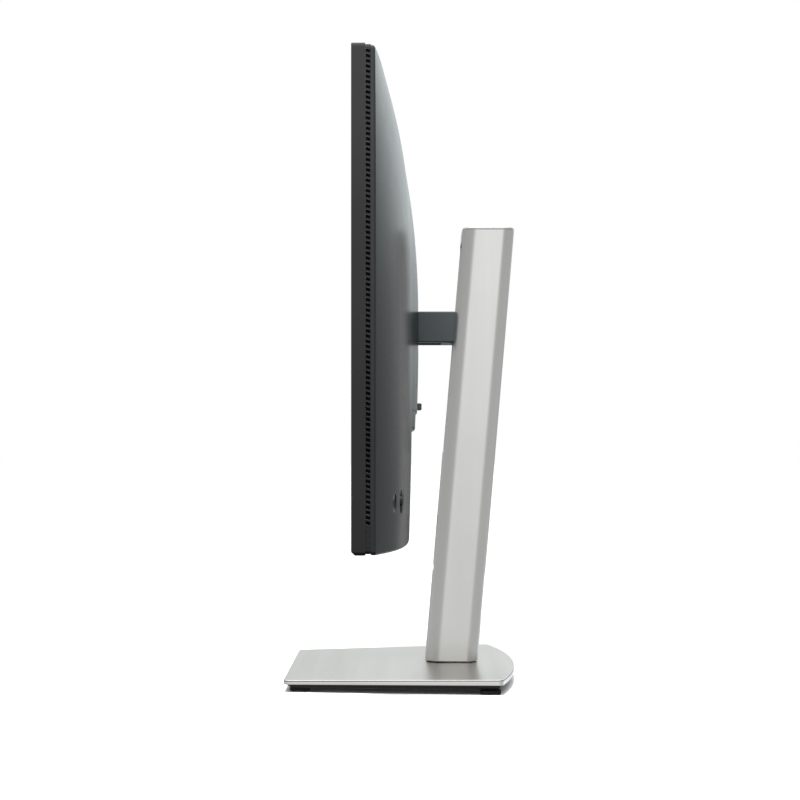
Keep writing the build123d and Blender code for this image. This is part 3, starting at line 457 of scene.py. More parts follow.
def finish_piece(name, bm, body, materials, replaced=(), angle=32.0):
    """Turn a bmesh in millimetres into a shaded piece that rides on a body."""
    bmesh.ops.remove_doubles(bm, verts=bm.verts, dist=0.001)
    bmesh.ops.recalc_face_normals(bm, faces=bm.faces)
    bmesh.ops.scale(bm, vec=(MM, MM, MM), verts=bm.verts)
    mesh = bpy.data.meshes.new(name)
    bm.to_mesh(mesh)
    bm.free()
    for material in materials:
        mesh.materials.append(MATERIALS[material])
    mesh.shade_smooth()
    mesh.set_sharp_from_angle(angle=math.radians(angle))
    obj = bpy.data.objects.new(name, mesh)
    bpy.context.scene.collection.objects.link(obj)
    shading = obj.modifiers.new("flat faces stay flat", "WEIGHTED_NORMAL")
    shading.weight = 80
    shading.keep_sharp = True
    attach(obj, body)
    if replaced:
        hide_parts(*replaced)
    return obj


# ---------------------------------------------------------------- head: frame, screen and vents

FRAME_LOW, FRAME_HIGH = span("front_frame")
HEAD_HALF = FRAME_HIGH.x
HEAD_CORNER_R = 3.0
WALL = 1.5
CHIN_CHAMFER = 2.7


def head_outline(inset, y, steps=8):
    """Rounded rectangle of the head's front, at one depth."""
    corners = rectangle(HEAD_HALF, FRAME_LOW.z, FRAME_HIGH.z)
    return [(p.x, y, p.y) for p in outline(corners, [HEAD_CORNER_R] * 4, inset, steps)]


def chin_cutter():
    side = CHIN_CHAMFER * math.sqrt(2)
    bm = block((-HEAD_HALF - 5, HEAD_HALF + 5), (-side / 2, side / 2), (-side / 2, side / 2))
    bmesh.ops.rotate(bm, verts=bm.verts, cent=(0, 0, 0), matrix=Matrix.Rotation(math.radians(45), 3, "X"))
    bmesh.ops.translate(bm, verts=bm.verts, vec=(0, FRAME_LOW.y, FRAME_LOW.z))
    return bm


def front_frame():
    front, back = FRAME_LOW.y, FRAME_HIGH.y
    profile = [(WALL, front + 0.25), (WALL - 0.1, front + 0.05), (WALL - 0.3, front), (0.55, front),
               (0.22, front + 0.08), (0.05, front + 0.28), (0, front + 0.6), (0, back - 0.35),
               (0.1, back - 0.1), (0.35, back), (13, back), (13, back - WALL), (WALL, back - WALL)]
    bm = bmesh.new()
    add_rings(bm, [head_outline(inset, y) for inset, y in profile], closed=True)
    bm = carve(bm, chin_cutter())
    finish_piece("frame_shell", bm, "head", ["frame_plastic"], ["front_frame"])


def bottom_bezel():
    low, high = span("bottom_bezel")
    gap = 0.15
    bm = bmesh.new()
    depth = 1.8
    for_corners = rectangle(high.x - gap, low.z + gap, high.z)
    profile = [(0.5, low.y + depth), (0, low.y + depth), (0, low.y + 0.3), (0.08, low.y + 0.08), (0.3, low.y)]
    rings = [[(p.x, y, p.y) for p in outline(for_corners, [1.2] * 4, inset, 4)] for inset, y in profile]
    add_rings(bm, rings)
    lens_x, lens_z = 286.0, (span("power_light")[0].z + span("power_light")[1].z) / 2
    hole = lathe("y", (lens_x, low.y, lens_z), [(1.5, -1), (1.5, 4)], 32)
    bm = carve(bm, chin_cutter(), hole)
    finish_piece("bezel_strip", bm, "head", ["frame_plastic"], ["bottom_bezel"])


def lcd_panel():
    """Screen face: the lit area with the dark border that frames it."""
    low, high = span("lcd_panel")
    border_side, border_low = 5.5, 4.0
    bm = bmesh.new()
    outer = rectangle(high.x, low.z, high.z)
    inner = rectangle(high.x - border_side, low.z + border_low, high.z - border_side)
    profile = [(outer, 0.3, high.y), (outer, 0, high.y - 0.2), (outer, 0, low.y + 0.2), (outer, 0.2, low.y)]
    rings = [[(p.x, y, p.y) for p in outline(corners, [1.6] * 4, inset, 4)] for corners, inset, y in profile]
    active = [(p.x, low.y, p.y) for p in outline(inner, [0.3] * 4, 0, 4)]
    add_rings(bm, rings + [active], caps=False, material=1)
    bm.verts.ensure_lookup_table()
    count = len(active)
    bm.faces.new(bm.verts[-count:]).material_index = 0
    bm.faces.new(list(reversed(bm.verts[:count]))).material_index = 1
    finish_piece("screen_face", bm, "head", ["panel_glass", "panel_border"], ["lcd_panel"])


VENT_PITCH = 3.6
SIDE_VENTS = 92
TOP_VENTS = 101
VENT_SIZE = (3.2, 2.5)
VENT_SLANT = 14.0
VENT_LOW_Z = 144.3
CLOSED_VENTS = 6
CLOSED_VENT_DEPTH = 0.12
VENT_WALL = 1.8


def vent_slot(place, axis, slant, depth):
    """Rounded slanted slot through the vent band, whose depth runs along an axis."""
    width, height = VENT_SIZE
    shape = outline([(-width / 2, -height / 2), (width / 2, -height / 2), (width / 2, height / 2),
                     (-width / 2, height / 2)], [0.3] * 4, 0, 2)
    slope = math.tan(math.radians(slant))
    bm = bmesh.new()
    rings = []
    for across in depth:
        ring = []
        for p in shape:
            if axis == "x":
                ring.append((across, place[1] + p.x, place[2] + p.y - slope * p.x))
            else:
                ring.append((place[0] + p.y, place[1] + p.x, across))
        rings.append(ring)
    add_rings(bm, rings)
    return bm


def vent_frame():
    """Band of slots round the sides and the top, with a near-black sheet close behind it as painted shade
    inside the slots.
    """
    low, high = span("vent_frame")
    half = high.x
    middle = (low.y + high.y) / 2
    corners = rectangle(half, low.z, high.z)

    def ring(inset, y):
        return [(p.x, y, p.y) for p in outline(corners, [HEAD_CORNER_R] * 4, inset, 8)]

    profile = [(0.15, low.y), (0, low.y + 0.15), (0, high.y - 0.15), (0.15, high.y)]
    profile += [(VENT_WALL, high.y), (VENT_WALL, low.y)]
    bm = bmesh.new()
    add_rings(bm, [ring(inset, y) for inset, y in profile], closed=True)
    slots = []
    for index in range(SIDE_VENTS):
        z = VENT_LOW_Z + index * VENT_PITCH
        slots.append(vent_slot((0, middle, z), "x", VENT_SLANT, (half - 3, half + 3)))
        slots.append(vent_slot((0, middle, z), "x", VENT_SLANT, (-half - 3, -half + 3)))
    for index in range(TOP_VENTS):
        x = (index - (TOP_VENTS - 1) / 2) * VENT_PITCH
        slots.append(vent_slot((x, middle, 0), "z", 0, (high.z - 3, high.z + 3)))
    for index in range(CLOSED_VENTS):
        z = VENT_LOW_Z - (index + 1) * VENT_PITCH
        slots.append(vent_slot((0, middle, z), "x", VENT_SLANT, (half - CLOSED_VENT_DEPTH, half + 3)))
        slots.append(vent_slot((0, middle, z), "x", VENT_SLANT, (-half - 3, -half + CLOSED_VENT_DEPTH)))
    bm = carve(bm, *slots)
    # Near-black sheet behind the slots: painted shade standing in for the dark inside of the head.
    shade_sheet = bmesh.new()
    shade_sheet_profile = [(3.2, low.y + 0.1), (3.2, high.y - 0.1), (3.8, high.y - 0.1), (3.8, low.y + 0.1)]
    add_rings(shade_sheet, [ring(inset, y) for inset, y in shade_sheet_profile], closed=True, material=1)
    bm = joined([bm, shade_sheet])
    finish_piece("vent_band", bm, "head", ["frame_plastic", "vent_black"], ["vent_frame"])


# ---------------------------------------------------------------- head: rear cover

COVER_LOW, COVER_HIGH = span("rear_cover")
SEAM_Y = COVER_LOW.y
RIM_Y = SEAM_Y + 2.9
COVER_HALF = COVER_HIGH.x
COVER_WALL = 2.2
DOME_RISE = 26.9
DOME_SIDE_POWER = 4.24
DOME_TOP_POWER = 4.5
DOME_CENTRE_Z = 258.3
DOME_CREST_Z = 489.7
DOME_BOTTOM_DROP = 0.089
PANEL_RISE = 5.97
PANEL_HALF_WIDTH = 130.0
PANEL_CENTRE_Z = 298.2
PANEL_FADE_DOWN = 245.0
PANEL_FADE_UP = 173.8
PANEL_LOW_Z = 212.0
PANEL_HIGH_Z = 471.0
PANEL_STEP_Z = 227.0
PANEL_STEP = 1.2
MOUNT_Z = (FRAME_LOW.z + FRAME_HIGH.z) / 2
RECESS_HALF = 45.0
RECESS_FLOOR_Y = 1.0
CONTROL_Z = 156.8
POWER_X = 256.0
STICK_X = 228.0
STICK_DISH_R = 9.2
STICK_DISH = ((5.6, -14), (5.6, -2.2), (5.75, -1.9), (8.9, -0.1), (9.4, 0.35), (12.5, 1.4), (12.5, 9))
POWER_HOLE_R = 6.45
VESA_HOLE_R = 2.1
POCKET_WALL = 2.0
PORT_BAY_HALF = 132.0
PORT_BAY_Y = (-19.9, 0.5)
PORT_BAY_TOP = 136.0
MOUTH_R = 25.5
VESA_HALF = 50.0


def dome_y(x, z):
    side = 1 - min(1.0, abs(x) / COVER_HALF) ** DOME_SIDE_POWER
    if z > DOME_CENTRE_Z:
        rise = 1 - ((z - DOME_CENTRE_Z) / (DOME_CREST_Z - DOME_CENTRE_Z)) ** DOME_TOP_POWER
    else:
        rise = 1 - DOME_BOTTOM_DROP * ((DOME_CENTRE_Z - z) / (DOME_CENTRE_Z - COVER_LOW.z)) ** 2
    return RIM_Y + DOME_RISE * side * rise


def panel_y(x, z):
    """The raised panel blends into the pillow at its sides and top."""
    across = max(0.0, 1 - (x / PANEL_HALF_WIDTH) ** 2) ** 2
    if z > PANEL_CENTRE_Z:
        fade = max(0.0, 1 - ((z - PANEL_CENTRE_Z) / PANEL_FADE_UP) ** 2) ** 1.5
    else:
        fade = math.cos(math.pi * (z - PANEL_CENTRE_Z) / (2 * PANEL_FADE_DOWN)) ** 2
    return dome_y(x, z) + PANEL_RISE * across * fade


def drop(radius, distance):
    """How far a quarter-round edge falls, at a distance from the edge."""
    if distance >= radius:
        return 0.0
    return radius - math.sqrt(radius ** 2 - (radius - distance) ** 2)


def cover_ring(inset, depth_at):
    """Ring of the cover's outline. Far from the edge its corners grow rounder, for even spacing."""
    corners = rectangle(COVER_HALF, COVER_LOW.z, COVER_HIGH.z)
    radius = HEAD_CORNER_R + 0.35 * inset
    points = outline(corners, [radius + inset * 0.65] * 4, inset, 8, (96, 56, 96, 56))
    return [(p.x, depth_at(p.x, p.y), p.y) for p in points]


def edge_radius(z):
    """The cover's outer edge is roundest along the top and crispest along the bottom."""
    if z > COVER_HIGH.z - 4:
        return 2.2
    return 1.2 if z < COVER_LOW.z + 4 else 1.5


def pillow_shell():
    """The pillow's shell: outer skin, rim, then the inner skin."""
    deepest = (COVER_HIGH.z - COVER_LOW.z) / 2 - 4
    insets = [0, 0.08, 0.2, 0.4, 0.7, 1.0, 1.5, 2.2, 3.2, 4.5, 6.5, 9, 12]
    insets += [12 + (deepest - 12) * step / 40 for step in range(1, 41)]
    outer = [cover_ring(0, lambda x, z: SEAM_Y)]
    for inset in insets:
        outer.append(cover_ring(inset, lambda x, z: dome_y(x, z) - drop(edge_radius(z), inset)))
    inner = [cover_ring(COVER_WALL, lambda x, z: SEAM_Y)]
    for step in range(0, 21):
        inset = COVER_WALL + (deepest - COVER_WALL) * step / 20
        inner.append(cover_ring(inset, lambda x, z: dome_y(x, z) - COVER_WALL))
    bm = bmesh.new()
    rings = list(reversed(outer)) + inner
    add_rings(bm, rings)
    return bm


def height_block(depth_at, floor_at, x_lines, z_lines, material=0):
    """Closed solid between two height fields over a grid of lines."""
    bm = bmesh.new()
    layers = []
    for field in (floor_at, depth_at):
        layers.append([[bm.verts.new((x, field(x, z), z)) for x in x_lines] for z in z_lines])
    rows, columns = len(z_lines), len(x_lines)
    for layer in layers:
        for row in range(rows - 1):
            for column in range(columns - 1):
                bm.faces.new((layer[row][column], layer[row][column + 1], layer[row + 1][column + 1],
                              layer[row + 1][column]))
    floor, roof = layers
    border = [(0, column) for column in range(columns)]
    border += [(row, columns - 1) for row in range(1, rows)]
    border += [(rows - 1, column) for column in range(columns - 2, -1, -1)]
    border += [(row, 0) for row in range(rows - 2, 0, -1)]
    for (row, column), (next_row, next_column) in zip(border, border[1:] + border[:1]):
        bm.faces.new((floor[row][column], floor[next_row][next_column], roof[next_row][next_column],
                      roof[row][column]))
    for face in bm.faces:
        face.material_index = material
    bmesh.ops.recalc_face_normals(bm, faces=bm.faces)
    return bm


def lines(low, high, count, edge):
    """Evenly spaced lines with a few close ones near both ends."""
    close = [edge * share for share in (0, 0.06, 0.2, 0.42, 0.7, 1.0)]
    middle = [low + edge + (high - low - 2 * edge) * step / count for step in range(1, count)]
    return [low + c for c in close] + middle + [high - c for c in reversed(close)]


def raised_panel(z_span, lowered, low_edge, embed=1.6):
    """Raised middle panel between two levels, with a rounded lower edge."""
    half = PANEL_HALF_WIDTH

    def top(x, z):
        sunk = lowered + drop(low_edge, z - z_span[0]) + 0.03
        return max(panel_y(x, z) - sunk, dome_y(x, z) - embed + 0.3)

    def floor(x, z):
        return dome_y(x, z) - embed

    return height_block(top, floor, lines(-half, half, 52, 3.0), lines(z_span[0], z_span[1], 44, 3.2))


def hole(x, z, radius, y, lip=0.0, steps=40):
    """Round cutter along Y with a small countersunk mouth at the surface depth y[1]."""
    profile = [(radius, y[0]), (radius, y[1] - lip)]
    if lip:
        profile.append((radius + 2 * lip, y[1] + lip))
    profile.append((profile[-1][0], y[1] + 20))
    return lathe("y", (x, 0, z), profile, steps)


def cover_solids():
    """What stands behind the pillow: the mount's pocket, the port bay's walls and the VESA bosses."""
    pocket = RECESS_HALF + POCKET_WALL
    bay = PORT_BAY_HALF + POCKET_WALL
    depth = (RECESS_FLOOR_Y - POCKET_WALL, 8)
    solids = [block((-pocket, pocket), depth, (MOUNT_Z - pocket, MOUNT_Z + pocket))]
    solids.append(block((-bay, bay), (PORT_BAY_Y[0] - 1.5, PORT_BAY_Y[1] + POCKET_WALL),
                        (COVER_LOW.z + 1, PORT_BAY_TOP - 1)))
    for sx in (-1, 1):
        for sz in (-1, 1):
            solids.append(lathe("y", (sx * VESA_HALF, 0, MOUNT_Z + sz * VESA_HALF), [(5, -1), (5, 7)], 32))
    return solids


def cover_cuts():
    """The mount's recess with its holes and slots, the openings for the controls, and the port bay."""
    recess = outline(rectangle(RECESS_HALF, MOUNT_Z - RECESS_HALF, MOUNT_Z + RECESS_HALF), [3] * 4, 0, 6)
    recess_mesh = bmesh.new()
    add_rings(recess_mesh, [[(p.x, y, p.y) for p in recess] for y in (RECESS_FLOOR_Y, 40)])
    cuts = [recess_mesh]
    for sx in (-1, 1):
        for sz in (-1, 1):
            x, z = sx * VESA_HALF, MOUNT_Z + sz * VESA_HALF
            cuts.append(hole(x, z, VESA_HOLE_R, (-6, panel_y(x, z)), 0.35))
        cuts.append(block((sx * 25 - 7, sx * 25 + 7), (-4, 0.9), (MOUNT_Z + 36, MOUNT_Z + 44.5)))
    cuts.append(hole(0, MOUNT_Z, 16, (-5, 0.9)))
    cuts.append(block((-9, 9), (-4, 0.9), (MOUNT_Z - 39, MOUNT_Z - 31.5)))
    button_low, button_high = span("release_button")
    cuts.append(block((button_low.x - 0.4, button_high.x + 0.4), (2, 30),
                      (button_low.z - 0.4, button_high.z + 3.4)))
    cuts.append(hole(POWER_X, CONTROL_Z, POWER_HOLE_R, (-20, dome_y(POWER_X, CONTROL_Z)), 0.3))
    cuts.append(lathe("y", (STICK_X, dome_y(STICK_X, CONTROL_Z), CONTROL_Z), STICK_DISH, 56))
    cuts.append(block((-PORT_BAY_HALF, PORT_BAY_HALF), PORT_BAY_Y, (COVER_LOW.z - 1, PORT_BAY_TOP)))
    return cuts


def rear_cover():
    bm = pillow_shell()
    bm = combine(bm, raised_panel((PANEL_STEP_Z, PANEL_HIGH_Z), 0, 1.1), "UNION")
    bm = combine(bm, raised_panel((PANEL_LOW_Z, PANEL_STEP_Z + 0.4), PANEL_STEP, 2.4), "UNION")
    for solid in cover_solids():
        bm = combine(bm, solid, "UNION")
    for cut in cover_cuts():
        bm = combine(bm, cut, "DIFFERENCE")
    # The joystick dish's walls are painted near-black as painted shade.
    paint_dish_shade(bm)
    finish_piece("rear_shell", bm, "head", ["cover_plastic", "vent_black"], ["rear_cover"],
                 angle=28)


def paint_dish_shade(bm):
    """Painted shade: the walls of the joystick's dish, inside its rim, get the near-black material."""
    bm.normal_update()
    for face in bm.faces:
        middle = face.calc_center_median()
        inside = Vector((middle.x - STICK_X, middle.z - CONTROL_Z)).length < STICK_DISH_R
        if inside and face.normal.y < 0.95:
            face.material_index = 1


def mount_cover():
    """Square shroud round the arm, flush with the raised panel."""
    half = RECESS_HALF - 0.4
    low, high = MOUNT_Z - half, MOUNT_Z + half
    edge = 0.5

    def top(x, z):
        return panel_y(x, z) - drop(edge, half - abs(x)) - drop(edge, z - low) - drop(edge, high - z)

    bm = height_block(top, lambda x, z: 3.7, lines(-half, half, 24, 1.2), lines(low, high, 24, 1.2))
    corners = rectangle(half, low, high)
    trim = bmesh.new()
    add_rings(trim, [[(p.x, y, p.y) for p in outline(corners, [2.6] * 4, 0, 6)] for y in (0, 40)])
    bm = combine(bm, trim, "INTERSECT")
    bm = carve(bm, block((-half + 2, half - 2), (0, 9.5), (low + 2, high - 2)))
    mouth = [(MOUTH_R, -5), (MOUTH_R, 13.2), (MOUTH_R + 0.6, 13.9), (MOUTH_R + 1.5, 14.6),
             (MOUTH_R + 1.5, 40)]
    bm = carve(bm, lathe("y", (0, 0, MOUNT_Z), mouth, 96))
    finish_piece("mount_shroud", bm, "head", ["cover_plastic"], ["mount_cover"], angle=28)


# ---------------------------------------------------------------- head: buttons

def release_button():
    low, high = span("release_button")
    corners = [(8, low.z), (high.y, low.z), (high.y, high.z), (8, high.z)]
    bm = bmesh.new()
    profile = [(0.9, low.x), (0.35, low.x + 0.15), (0.1, low.x + 0.4), (0, low.x + 0.9)]
    profile += [(inset, -x) for inset, x in reversed(profile)]
    radii = [0.2, 1.1, 1.1, 0.2]
    rings = [[(x, p.x, p.y) for p in outline(corners, radii, inset, 6)] for inset, x in profile]
    add_rings(bm, rings)
    grooves = []
    for index in range(5):
        x = (index - 2) * 3.0
        grooves.append(block((x - 0.35, x + 0.35), (high.y - 5.5, high.y + 1), (low.z - 1, low.z + 0.35)))
    bm = carve(bm, *grooves)
    stem = block((-6, 6), (low.y, 8.2), (low.z + 1, high.z - 1))
    bm = combine(bm, stem, "UNION")
    finish_piece("release_key", bm, "release", ["key_plastic"], ["release_button"])


def power_button():
    low, high = span("power_button")
    centre = (POWER_X, CONTROL_Z)
    radius = (high.x - low.x) / 2
    dish = 1.1

    def ring(inset, y):
        points = []
        for step in range(64):
            angle = 2 * math.pi * step / 64
            x = centre[0] + (radius - inset) * math.cos(angle)
            z = centre[1] + (radius - inset) * math.sin(angle)
            sunk = 0.5 + drop(0.4, inset) + dish * max(0.0, 1 - ((radius - inset) / 5.7) ** 2)
            points.append((x, y if y is not None else dome_y(x, z) - sunk, z))
        return points

    insets = (0, 0.08, 0.2, 0.4, 0.6, 1.0, 1.5, 2.0, 2.6, 3.2, 3.8, 4.4, 5.0, 5.6)
    rings = [ring(0, low.y)] + [ring(inset, None) for inset in insets]
    bm = bmesh.new()
    add_rings(bm, rings)
    finish_piece("power_key", bm, "power_key", ["cover_plastic"], ["power_button"])


def joystick_cap():
    low, high = span("joystick_cap")
    x, z, top = STICK_X, CONTROL_Z, high.y
    profile = [(2.0, low.y), (2.0, top - 3.6), (3.4, top - 3.4), (3.9, top - 3.0), (4.0, top - 2.4),
               (4.0, top - 1.0), (3.8, top - 0.45), (3.4, top - 0.12), (3.0, top), (2.4, top - 0.08),
               (1.4, top - 0.3), (0.5, top - 0.36)]
    bm = lathe("y", (x, 0, z), profile, 56)
    pins = lathe("z", (x, (low.y + 0.9), z), [(0.45, -3.8), (0.45, 3.8)], 16)
    bm = combine(bm, pins, "UNION")
    finish_piece("stick_cap", bm, "stick", ["cover_plastic"], ["joystick_cap"])


# ---------------------------------------------------------------- stand: arm, column and cap

ARM_HALF = 20.0
ARM_LOW = MOUNT_Z - 11.6
ARM_HIGH = MOUNT_Z + 15.1
ARM_FRONT_Y = 13.4
ARM_REAR_Y = 56.0
CHEEK_GAP_HALF = 11.8


def arm():
    """Rounded beam with an open fork at the tilt hinge. The part inside the column is plain."""
    front = ARM_FRONT_Y
    bm = bmesh.new()
    corners = rectangle(ARM_HALF, ARM_LOW, ARM_HIGH)
    profile = [(0.9, front), (0.3, front + 0.2), (0.05, front + 0.55), (0, front + 1.0), (0, ARM_REAR_Y)]
    rings = [[(p.x, y, p.y) for p in outline(corners, [1.6] * 4, inset, 6)] for inset, y in profile]
    add_rings(bm, rings)
    fork = block((-CHEEK_GAP_HALF, CHEEK_GAP_HALF), (0, 33.5), (MOUNT_Z - 30, MOUNT_Z + 30))
    bm = carve(bm, fork)
    bm = carve(bm, lathe("x", (0, 22, MOUNT_Z), [(5, -19), (5, 19)], 40))
    finish_piece("arm_beam", bm, "carriage", ["arm_paint"], ["arm"])


COLUMN_LOW, COLUMN_HIGH = span("column")
CAP_LOW, CAP_HIGH = span("column_cap")
COLUMN_DEPTH = COLUMN_HIGH.y - CAP_LOW.y
COLUMN_HALF = COLUMN_HIGH.x
COLUMN_TOP_Y = COLUMN_HIGH.y - COLUMN_DEPTH / 2
COLUMN_FOOT_Y = COLUMN_LOW.y + COLUMN_DEPTH / 2
LEAN = (COLUMN_TOP_Y - COLUMN_FOOT_Y) / (COLUMN_HIGH.z - COLUMN_LOW.z)
FRONT_R = 13.0
REAR_R = 11.0
COLUMN_WALL = 2.5
FRONT_WINDOW = (17.0, 91.0, 139.0, 8.0)
REAR_WINDOW = (22.0, 43.5, 96.5, 10.0)
TRIM_WIDTH = 1.4


def column_ring(inset, z, steps=12):
    middle = COLUMN_TOP_Y - LEAN * (COLUMN_HIGH.z - z)
    corners = [(-COLUMN_HALF, middle - COLUMN_DEPTH / 2), (COLUMN_HALF, middle - COLUMN_DEPTH / 2),
               (COLUMN_HALF, middle + COLUMN_DEPTH / 2), (-COLUMN_HALF, middle + COLUMN_DEPTH / 2)]
    radii = [FRONT_R, FRONT_R, REAR_R, REAR_R]
    return [(p.x, p.y, z) for p in outline(corners, radii, inset, steps)]


def window_cutter(window, y, grow=0.0):
    half, low, high, radius = window
    corners = rectangle(half + grow, low - grow, high + grow)
    bm = bmesh.new()
    rings = [[(p.x, level, p.y) for p in outline(corners, [radius + grow] * 4, 0, 10)] for level in y]
    add_rings(bm, rings)
    return bm


def column():
    low, high = COLUMN_LOW.z, COLUMN_HIGH.z
    outer = [(1.1, low), (0.55, low + 0.12), (0.18, low + 0.45), (0, low + 1.0), (0, high - 0.5),
             (0.15, high - 0.15), (0.45, high)]
    inner = [(COLUMN_WALL, high), (COLUMN_WALL, low)]
    bm = bmesh.new()
    add_rings(bm, [column_ring(inset, z) for inset, z in outer + inner], closed=True)
    bm = carve(bm, window_cutter(FRONT_WINDOW, (10, 45)))
    bm = carve(bm, window_cutter(REAR_WINDOW, (50, 90)))
    bm = carve(bm, arm_slot())
    finish_piece("column_tube", bm, "column", ["column_paint"], ["column"], angle=30)


def arm_slot():
    """Slot up the column's front face that the arm travels in."""
    cos = math.cos(math.atan(LEAN))
    tilt = Matrix.Rotation(-math.atan(LEAN), 3, "X")
    drop_y = LEAN * COLUMN_DEPTH / 2
    low = (ARM_LOW - drop_y - COLUMN_LOW.z) / cos - 93 - 1.5
    high = (ARM_HIGH - COLUMN_LOW.z) / cos + 57 + 1.5
    bm = bmesh.new()
    corners = outline(rectangle(20.6, low, high), [3] * 4, 0, 6)
    add_rings(bm, [[(p.x, y, p.y) for p in corners] for y in (-30, -10)])
    bmesh.ops.rotate(bm, verts=bm.verts, cent=(0, 0, 0), matrix=tilt)
    bmesh.ops.translate(bm, verts=bm.verts, vec=(0, COLUMN_FOOT_Y, COLUMN_LOW.z))
    return bm


def column_cap():
    low, high = CAP_LOW.z, CAP_HIGH.z
    rise = high - low
    profile = [(0.5, low), (0.15, low + 0.1), (0, low + 0.35), (0, low + rise - 1.5)]
    profile += [(0.08, low + rise - 1.0), (0.3, low + rise - 0.55), (0.75, low + rise - 0.18), (1.5, high),
                (4.0, high)]
    bm = bmesh.new()
    add_rings(bm, [column_ring(inset, z) for inset, z in profile])
    finish_piece("column_lid", bm, "column", ["column_paint"], ["column_cap"])


def cable_slot_trim():
    half, low, high, radius = REAR_WINDOW
    bm = bmesh.new()
    outer = [column_ring(0.35, z) for z in (low - 10, high + 10)]
    inner = [column_ring(4.3, z) for z in (high + 10, low - 10)]
    add_rings(bm, outer + inner, closed=True)
    bm = combine(bm, window_cutter((half - 0.1, low + 0.1, high - 0.1, radius - 0.1), (50, 90)), "INTERSECT")
    mouth = (half - TRIM_WIDTH, low + TRIM_WIDTH, high - TRIM_WIDTH, radius - TRIM_WIDTH)
    bm = carve(bm, window_cutter(mouth, (40, 95)))
    finish_piece("cable_trim", bm, "column", ["trim_plastic"], ["cable_slot_trim"], angle=30)


# ---------------------------------------------------------------- stand: base

BASE_LOW, BASE_HIGH = span("base_cover")
PAN_BOTTOM = span("base_pan")[0].z
BASE_CORNER_Y = 80.0
BASE_FRONT_HALF = 110.0
BASE_REAR_HALF = 130.0
BASE_CORNER_R = 4.0
SWIVEL = (0.0, 42.4)
TOP_FRONT_Z = 10.0
TOP_SLOPE = 0.0159
BAND_FRONT_Z = BASE_LOW.z
BAND_SLOPE = 0.0097


def base_corners():
    """Trapezium with a bowed rear edge, the bow being an arc through its three points."""
    rise = BASE_HIGH.y - BASE_CORNER_Y
    radius = (BASE_REAR_HALF ** 2 + rise ** 2) / (2 * rise)
    reach = math.asin(BASE_REAR_HALF / radius)
    corners = [(-BASE_FRONT_HALF, BASE_LOW.y), (BASE_FRONT_HALF, BASE_LOW.y)]
    for step in range(25):
        angle = reach * (1 - 2 * step / 24)
        corners.append((radius * math.sin(angle), BASE_HIGH.y - radius * (1 - math.cos(angle))))
    return corners


BASE_CORNERS = base_corners()
BASE_RADII = [BASE_CORNER_R] * 3 + [30.0] * 23 + [BASE_CORNER_R]
BASE_DIVISIONS = [30, 24] + [1] * 24 + [24]
CROWN_RISE = 2.85
CROWN_HALF_WIDTH = 122.0
CROWN_FRONT = 135.0
CROWN_REAR = 53.0
GROOVE_HIGH = 0.45
GROOVE_LOW = 1.05
GROOVE_DEPTH = 0.5
SOCKET_R = 21.4


def base_ring(inset, height_at):
    points = outline(BASE_CORNERS, BASE_RADII, inset, 5, BASE_DIVISIONS)
    return [(p.x, p.y, height_at(p.x, p.y)) for p in points]


def slope_z(y):
    return TOP_FRONT_Z + TOP_SLOPE * (y - BASE_LOW.y)


def top_z(x, y):
    """Gentle slope with a low crown that meets the foot of the column."""
    length = CROWN_REAR if y > SWIVEL[1] else CROWN_FRONT
    across = max(0.0, 1 - (x / CROWN_HALF_WIDTH) ** 2) ** 2
    along = max(0.0, 1 - ((y - SWIVEL[1]) / length) ** 2) ** 2
    return slope_z(y) + CROWN_RISE * across * along


def base_top_ring(share):
    """Ring on the crowned top: the outline, shrunk towards the middle by a share."""
    points = outline(BASE_CORNERS, BASE_RADII, 0.6, 5, BASE_DIVISIONS)
    shrunk = [(p.x * (1 - share), p.y * (1 - share)) for p in points]
    return [(x, y, top_z(x, y)) for x, y in shrunk]


def below_top(inset, drop_z):
    """Ring at a depth under the plain slope of the top."""
    return base_ring(inset, lambda x, y: slope_z(y) - drop_z)


def band_z(x, y, lift=0.0):
    return BAND_FRONT_Z + BAND_SLOPE * (y - BASE_LOW.y) + lift


def base_cover():
    """Folded sheet with a bright band round its edge, under a thin groove whose faces are painted black as
    painted shade.
    """
    bm = bmesh.new()
    skirt = 2.2
    rings = [below_top(skirt, 1.8), base_ring(skirt, band_z), base_ring(0.45, band_z),
             base_ring(0.12, lambda x, y: band_z(x, y, 0.12)), base_ring(0, lambda x, y: band_z(x, y, 0.4)),
             below_top(0, GROOVE_LOW), below_top(GROOVE_DEPTH, GROOVE_LOW),
             below_top(GROOVE_DEPTH, GROOVE_HIGH), below_top(0, GROOVE_HIGH), below_top(0.08, 0.2),
             below_top(0.25, 0.05)]
    rings += [base_top_ring(share) for share in (0, 0.03, 0.08, *[step / 16 for step in range(2, 16)])]
    add_rings(bm, rings)
    bm = carve(bm, lathe("z", (SWIVEL[0], SWIVEL[1], 0), [(SOCKET_R, 0), (SOCKET_R, 30)], 96))
    paint_base_edge(bm)
    finish_piece("base_plate", bm, "base", ["base_satin", "bright_edge", "black_plastic"],
                 ["base_cover"])


def paint_base_edge(bm):
    """Gives the bright band its own material, and paints the groove over it black as painted shade."""
    groove_middle = (GROOVE_HIGH + GROOVE_LOW) / 2
    bm.normal_update()
    for face in bm.faces:
        middle = face.calc_center_median()
        if Vector((middle.x, middle.y - SWIVEL[1])).length < 40:
            continue
        above_band = middle.z - band_z(0, middle.y)
        if above_band > -0.1 and abs(face.normal.z) < 0.8:
            face.material_index = 1
        # The groove is real geometry; its black plastic is painted shade in the seam between the top and the
        # band.
        if above_band > 1 and abs(slope_z(middle.y) - middle.z - groove_middle) < 0.35:
            face.material_index = 2


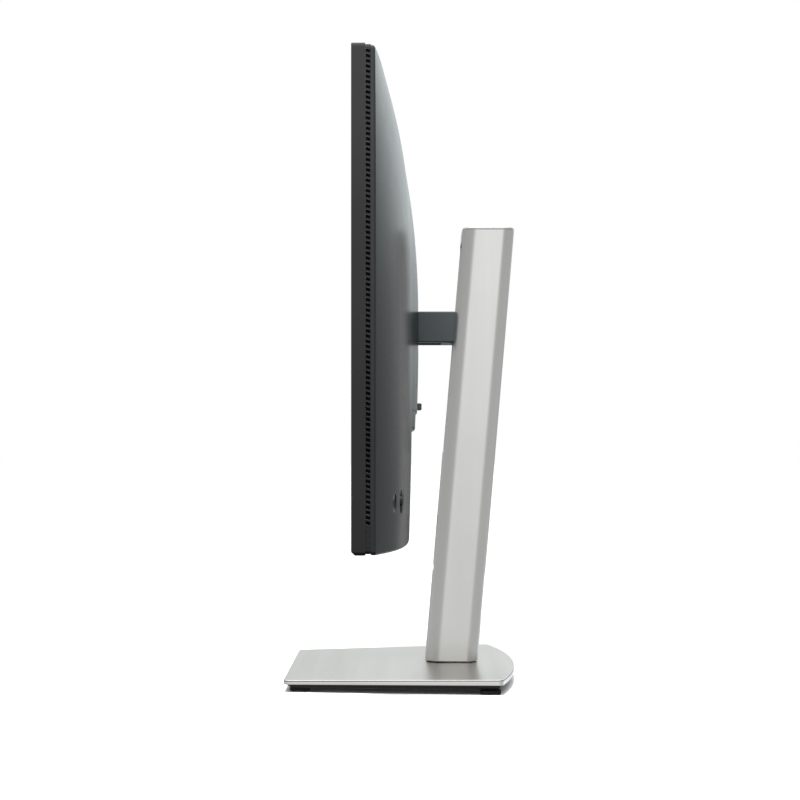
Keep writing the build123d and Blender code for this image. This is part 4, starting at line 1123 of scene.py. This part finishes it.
def base_pan():
    bottom = PAN_BOTTOM
    top_gap = 2.0

    def tray_top(x, y):
        return slope_z(y) - top_gap

    rings = [base_ring(8.6, lambda x, y: bottom + 1.6), base_ring(8.6, tray_top), base_ring(3, tray_top),
             base_ring(3, lambda x, y: bottom + 3.0), base_ring(3.25, lambda x, y: bottom + 2.5),
             base_ring(6.4, lambda x, y: bottom + 0.3), base_ring(7.0, lambda x, y: bottom)]
    bm = bmesh.new()
    add_rings(bm, rings)
    bm = carve(bm, lathe("z", (SWIVEL[0], SWIVEL[1], 0), [(28, 0), (28, 30)], 72))
    finish_piece("base_tray", bm, "base", ["black_plastic"], ["base_pan"])


FEET = ((95, -82.8), (118, 70.6), (36, 82))


def rubber_feet():
    """Soft pads with a rolled edge and three grip grooves."""
    pads = []
    top = PAN_BOTTOM
    for x, y in FEET:
        for side in (-1, 1):
            corners = rectangle(6.5, y - 8.5, y + 8.5)
            profile = [(0, top), (0, 1.0), (0.15, 0.45), (0.5, 0.12), (0.9, 0.0)]
            rings = [[(p.x + side * x, p.y, z) for p in outline(corners, [4] * 4, inset, 8)]
                     for inset, z in profile]
            pad = bmesh.new()
            add_rings(pad, rings)
            grooves = [block((side * x - 4, side * x + 4), (y + dy - 0.5, y + dy + 0.5), (-1, 0.35))
                       for dy in (-4, 0, 4)]
            pads.append(carve(pad, *grooves))
    finish_piece("foot_pads", joined(pads), "base", ["rubber"], ["rubber_feet"])


# ---------------------------------------------------------------- everything

HEAD_BODIES = ("head", "power_key", "stick", "stick_gimbal", "stick_plunger", "release", "tilt_block")


def hide_head_from_reflections():
    """The studio's panels, and not the dark head, are what shows in the column and the base."""
    bodies = frame["record"]["behaviour"]["bodies"]
    carried = {node for body in HEAD_BODIES for node in bodies[body]}
    for obj in bpy.context.scene.objects:
        if obj.name in carried or obj.get("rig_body") in HEAD_BODIES:
            obj.visible_glossy = False


add_stage()
paint_cad_nodes()
for make in (front_frame, bottom_bezel, lcd_panel, vent_frame, rear_cover, mount_cover, release_button,
             power_button, joystick_cap, arm, column, column_cap, cable_slot_trim, base_cover, base_pan,
             rubber_feet):
    make()

hide_head_from_reflections()
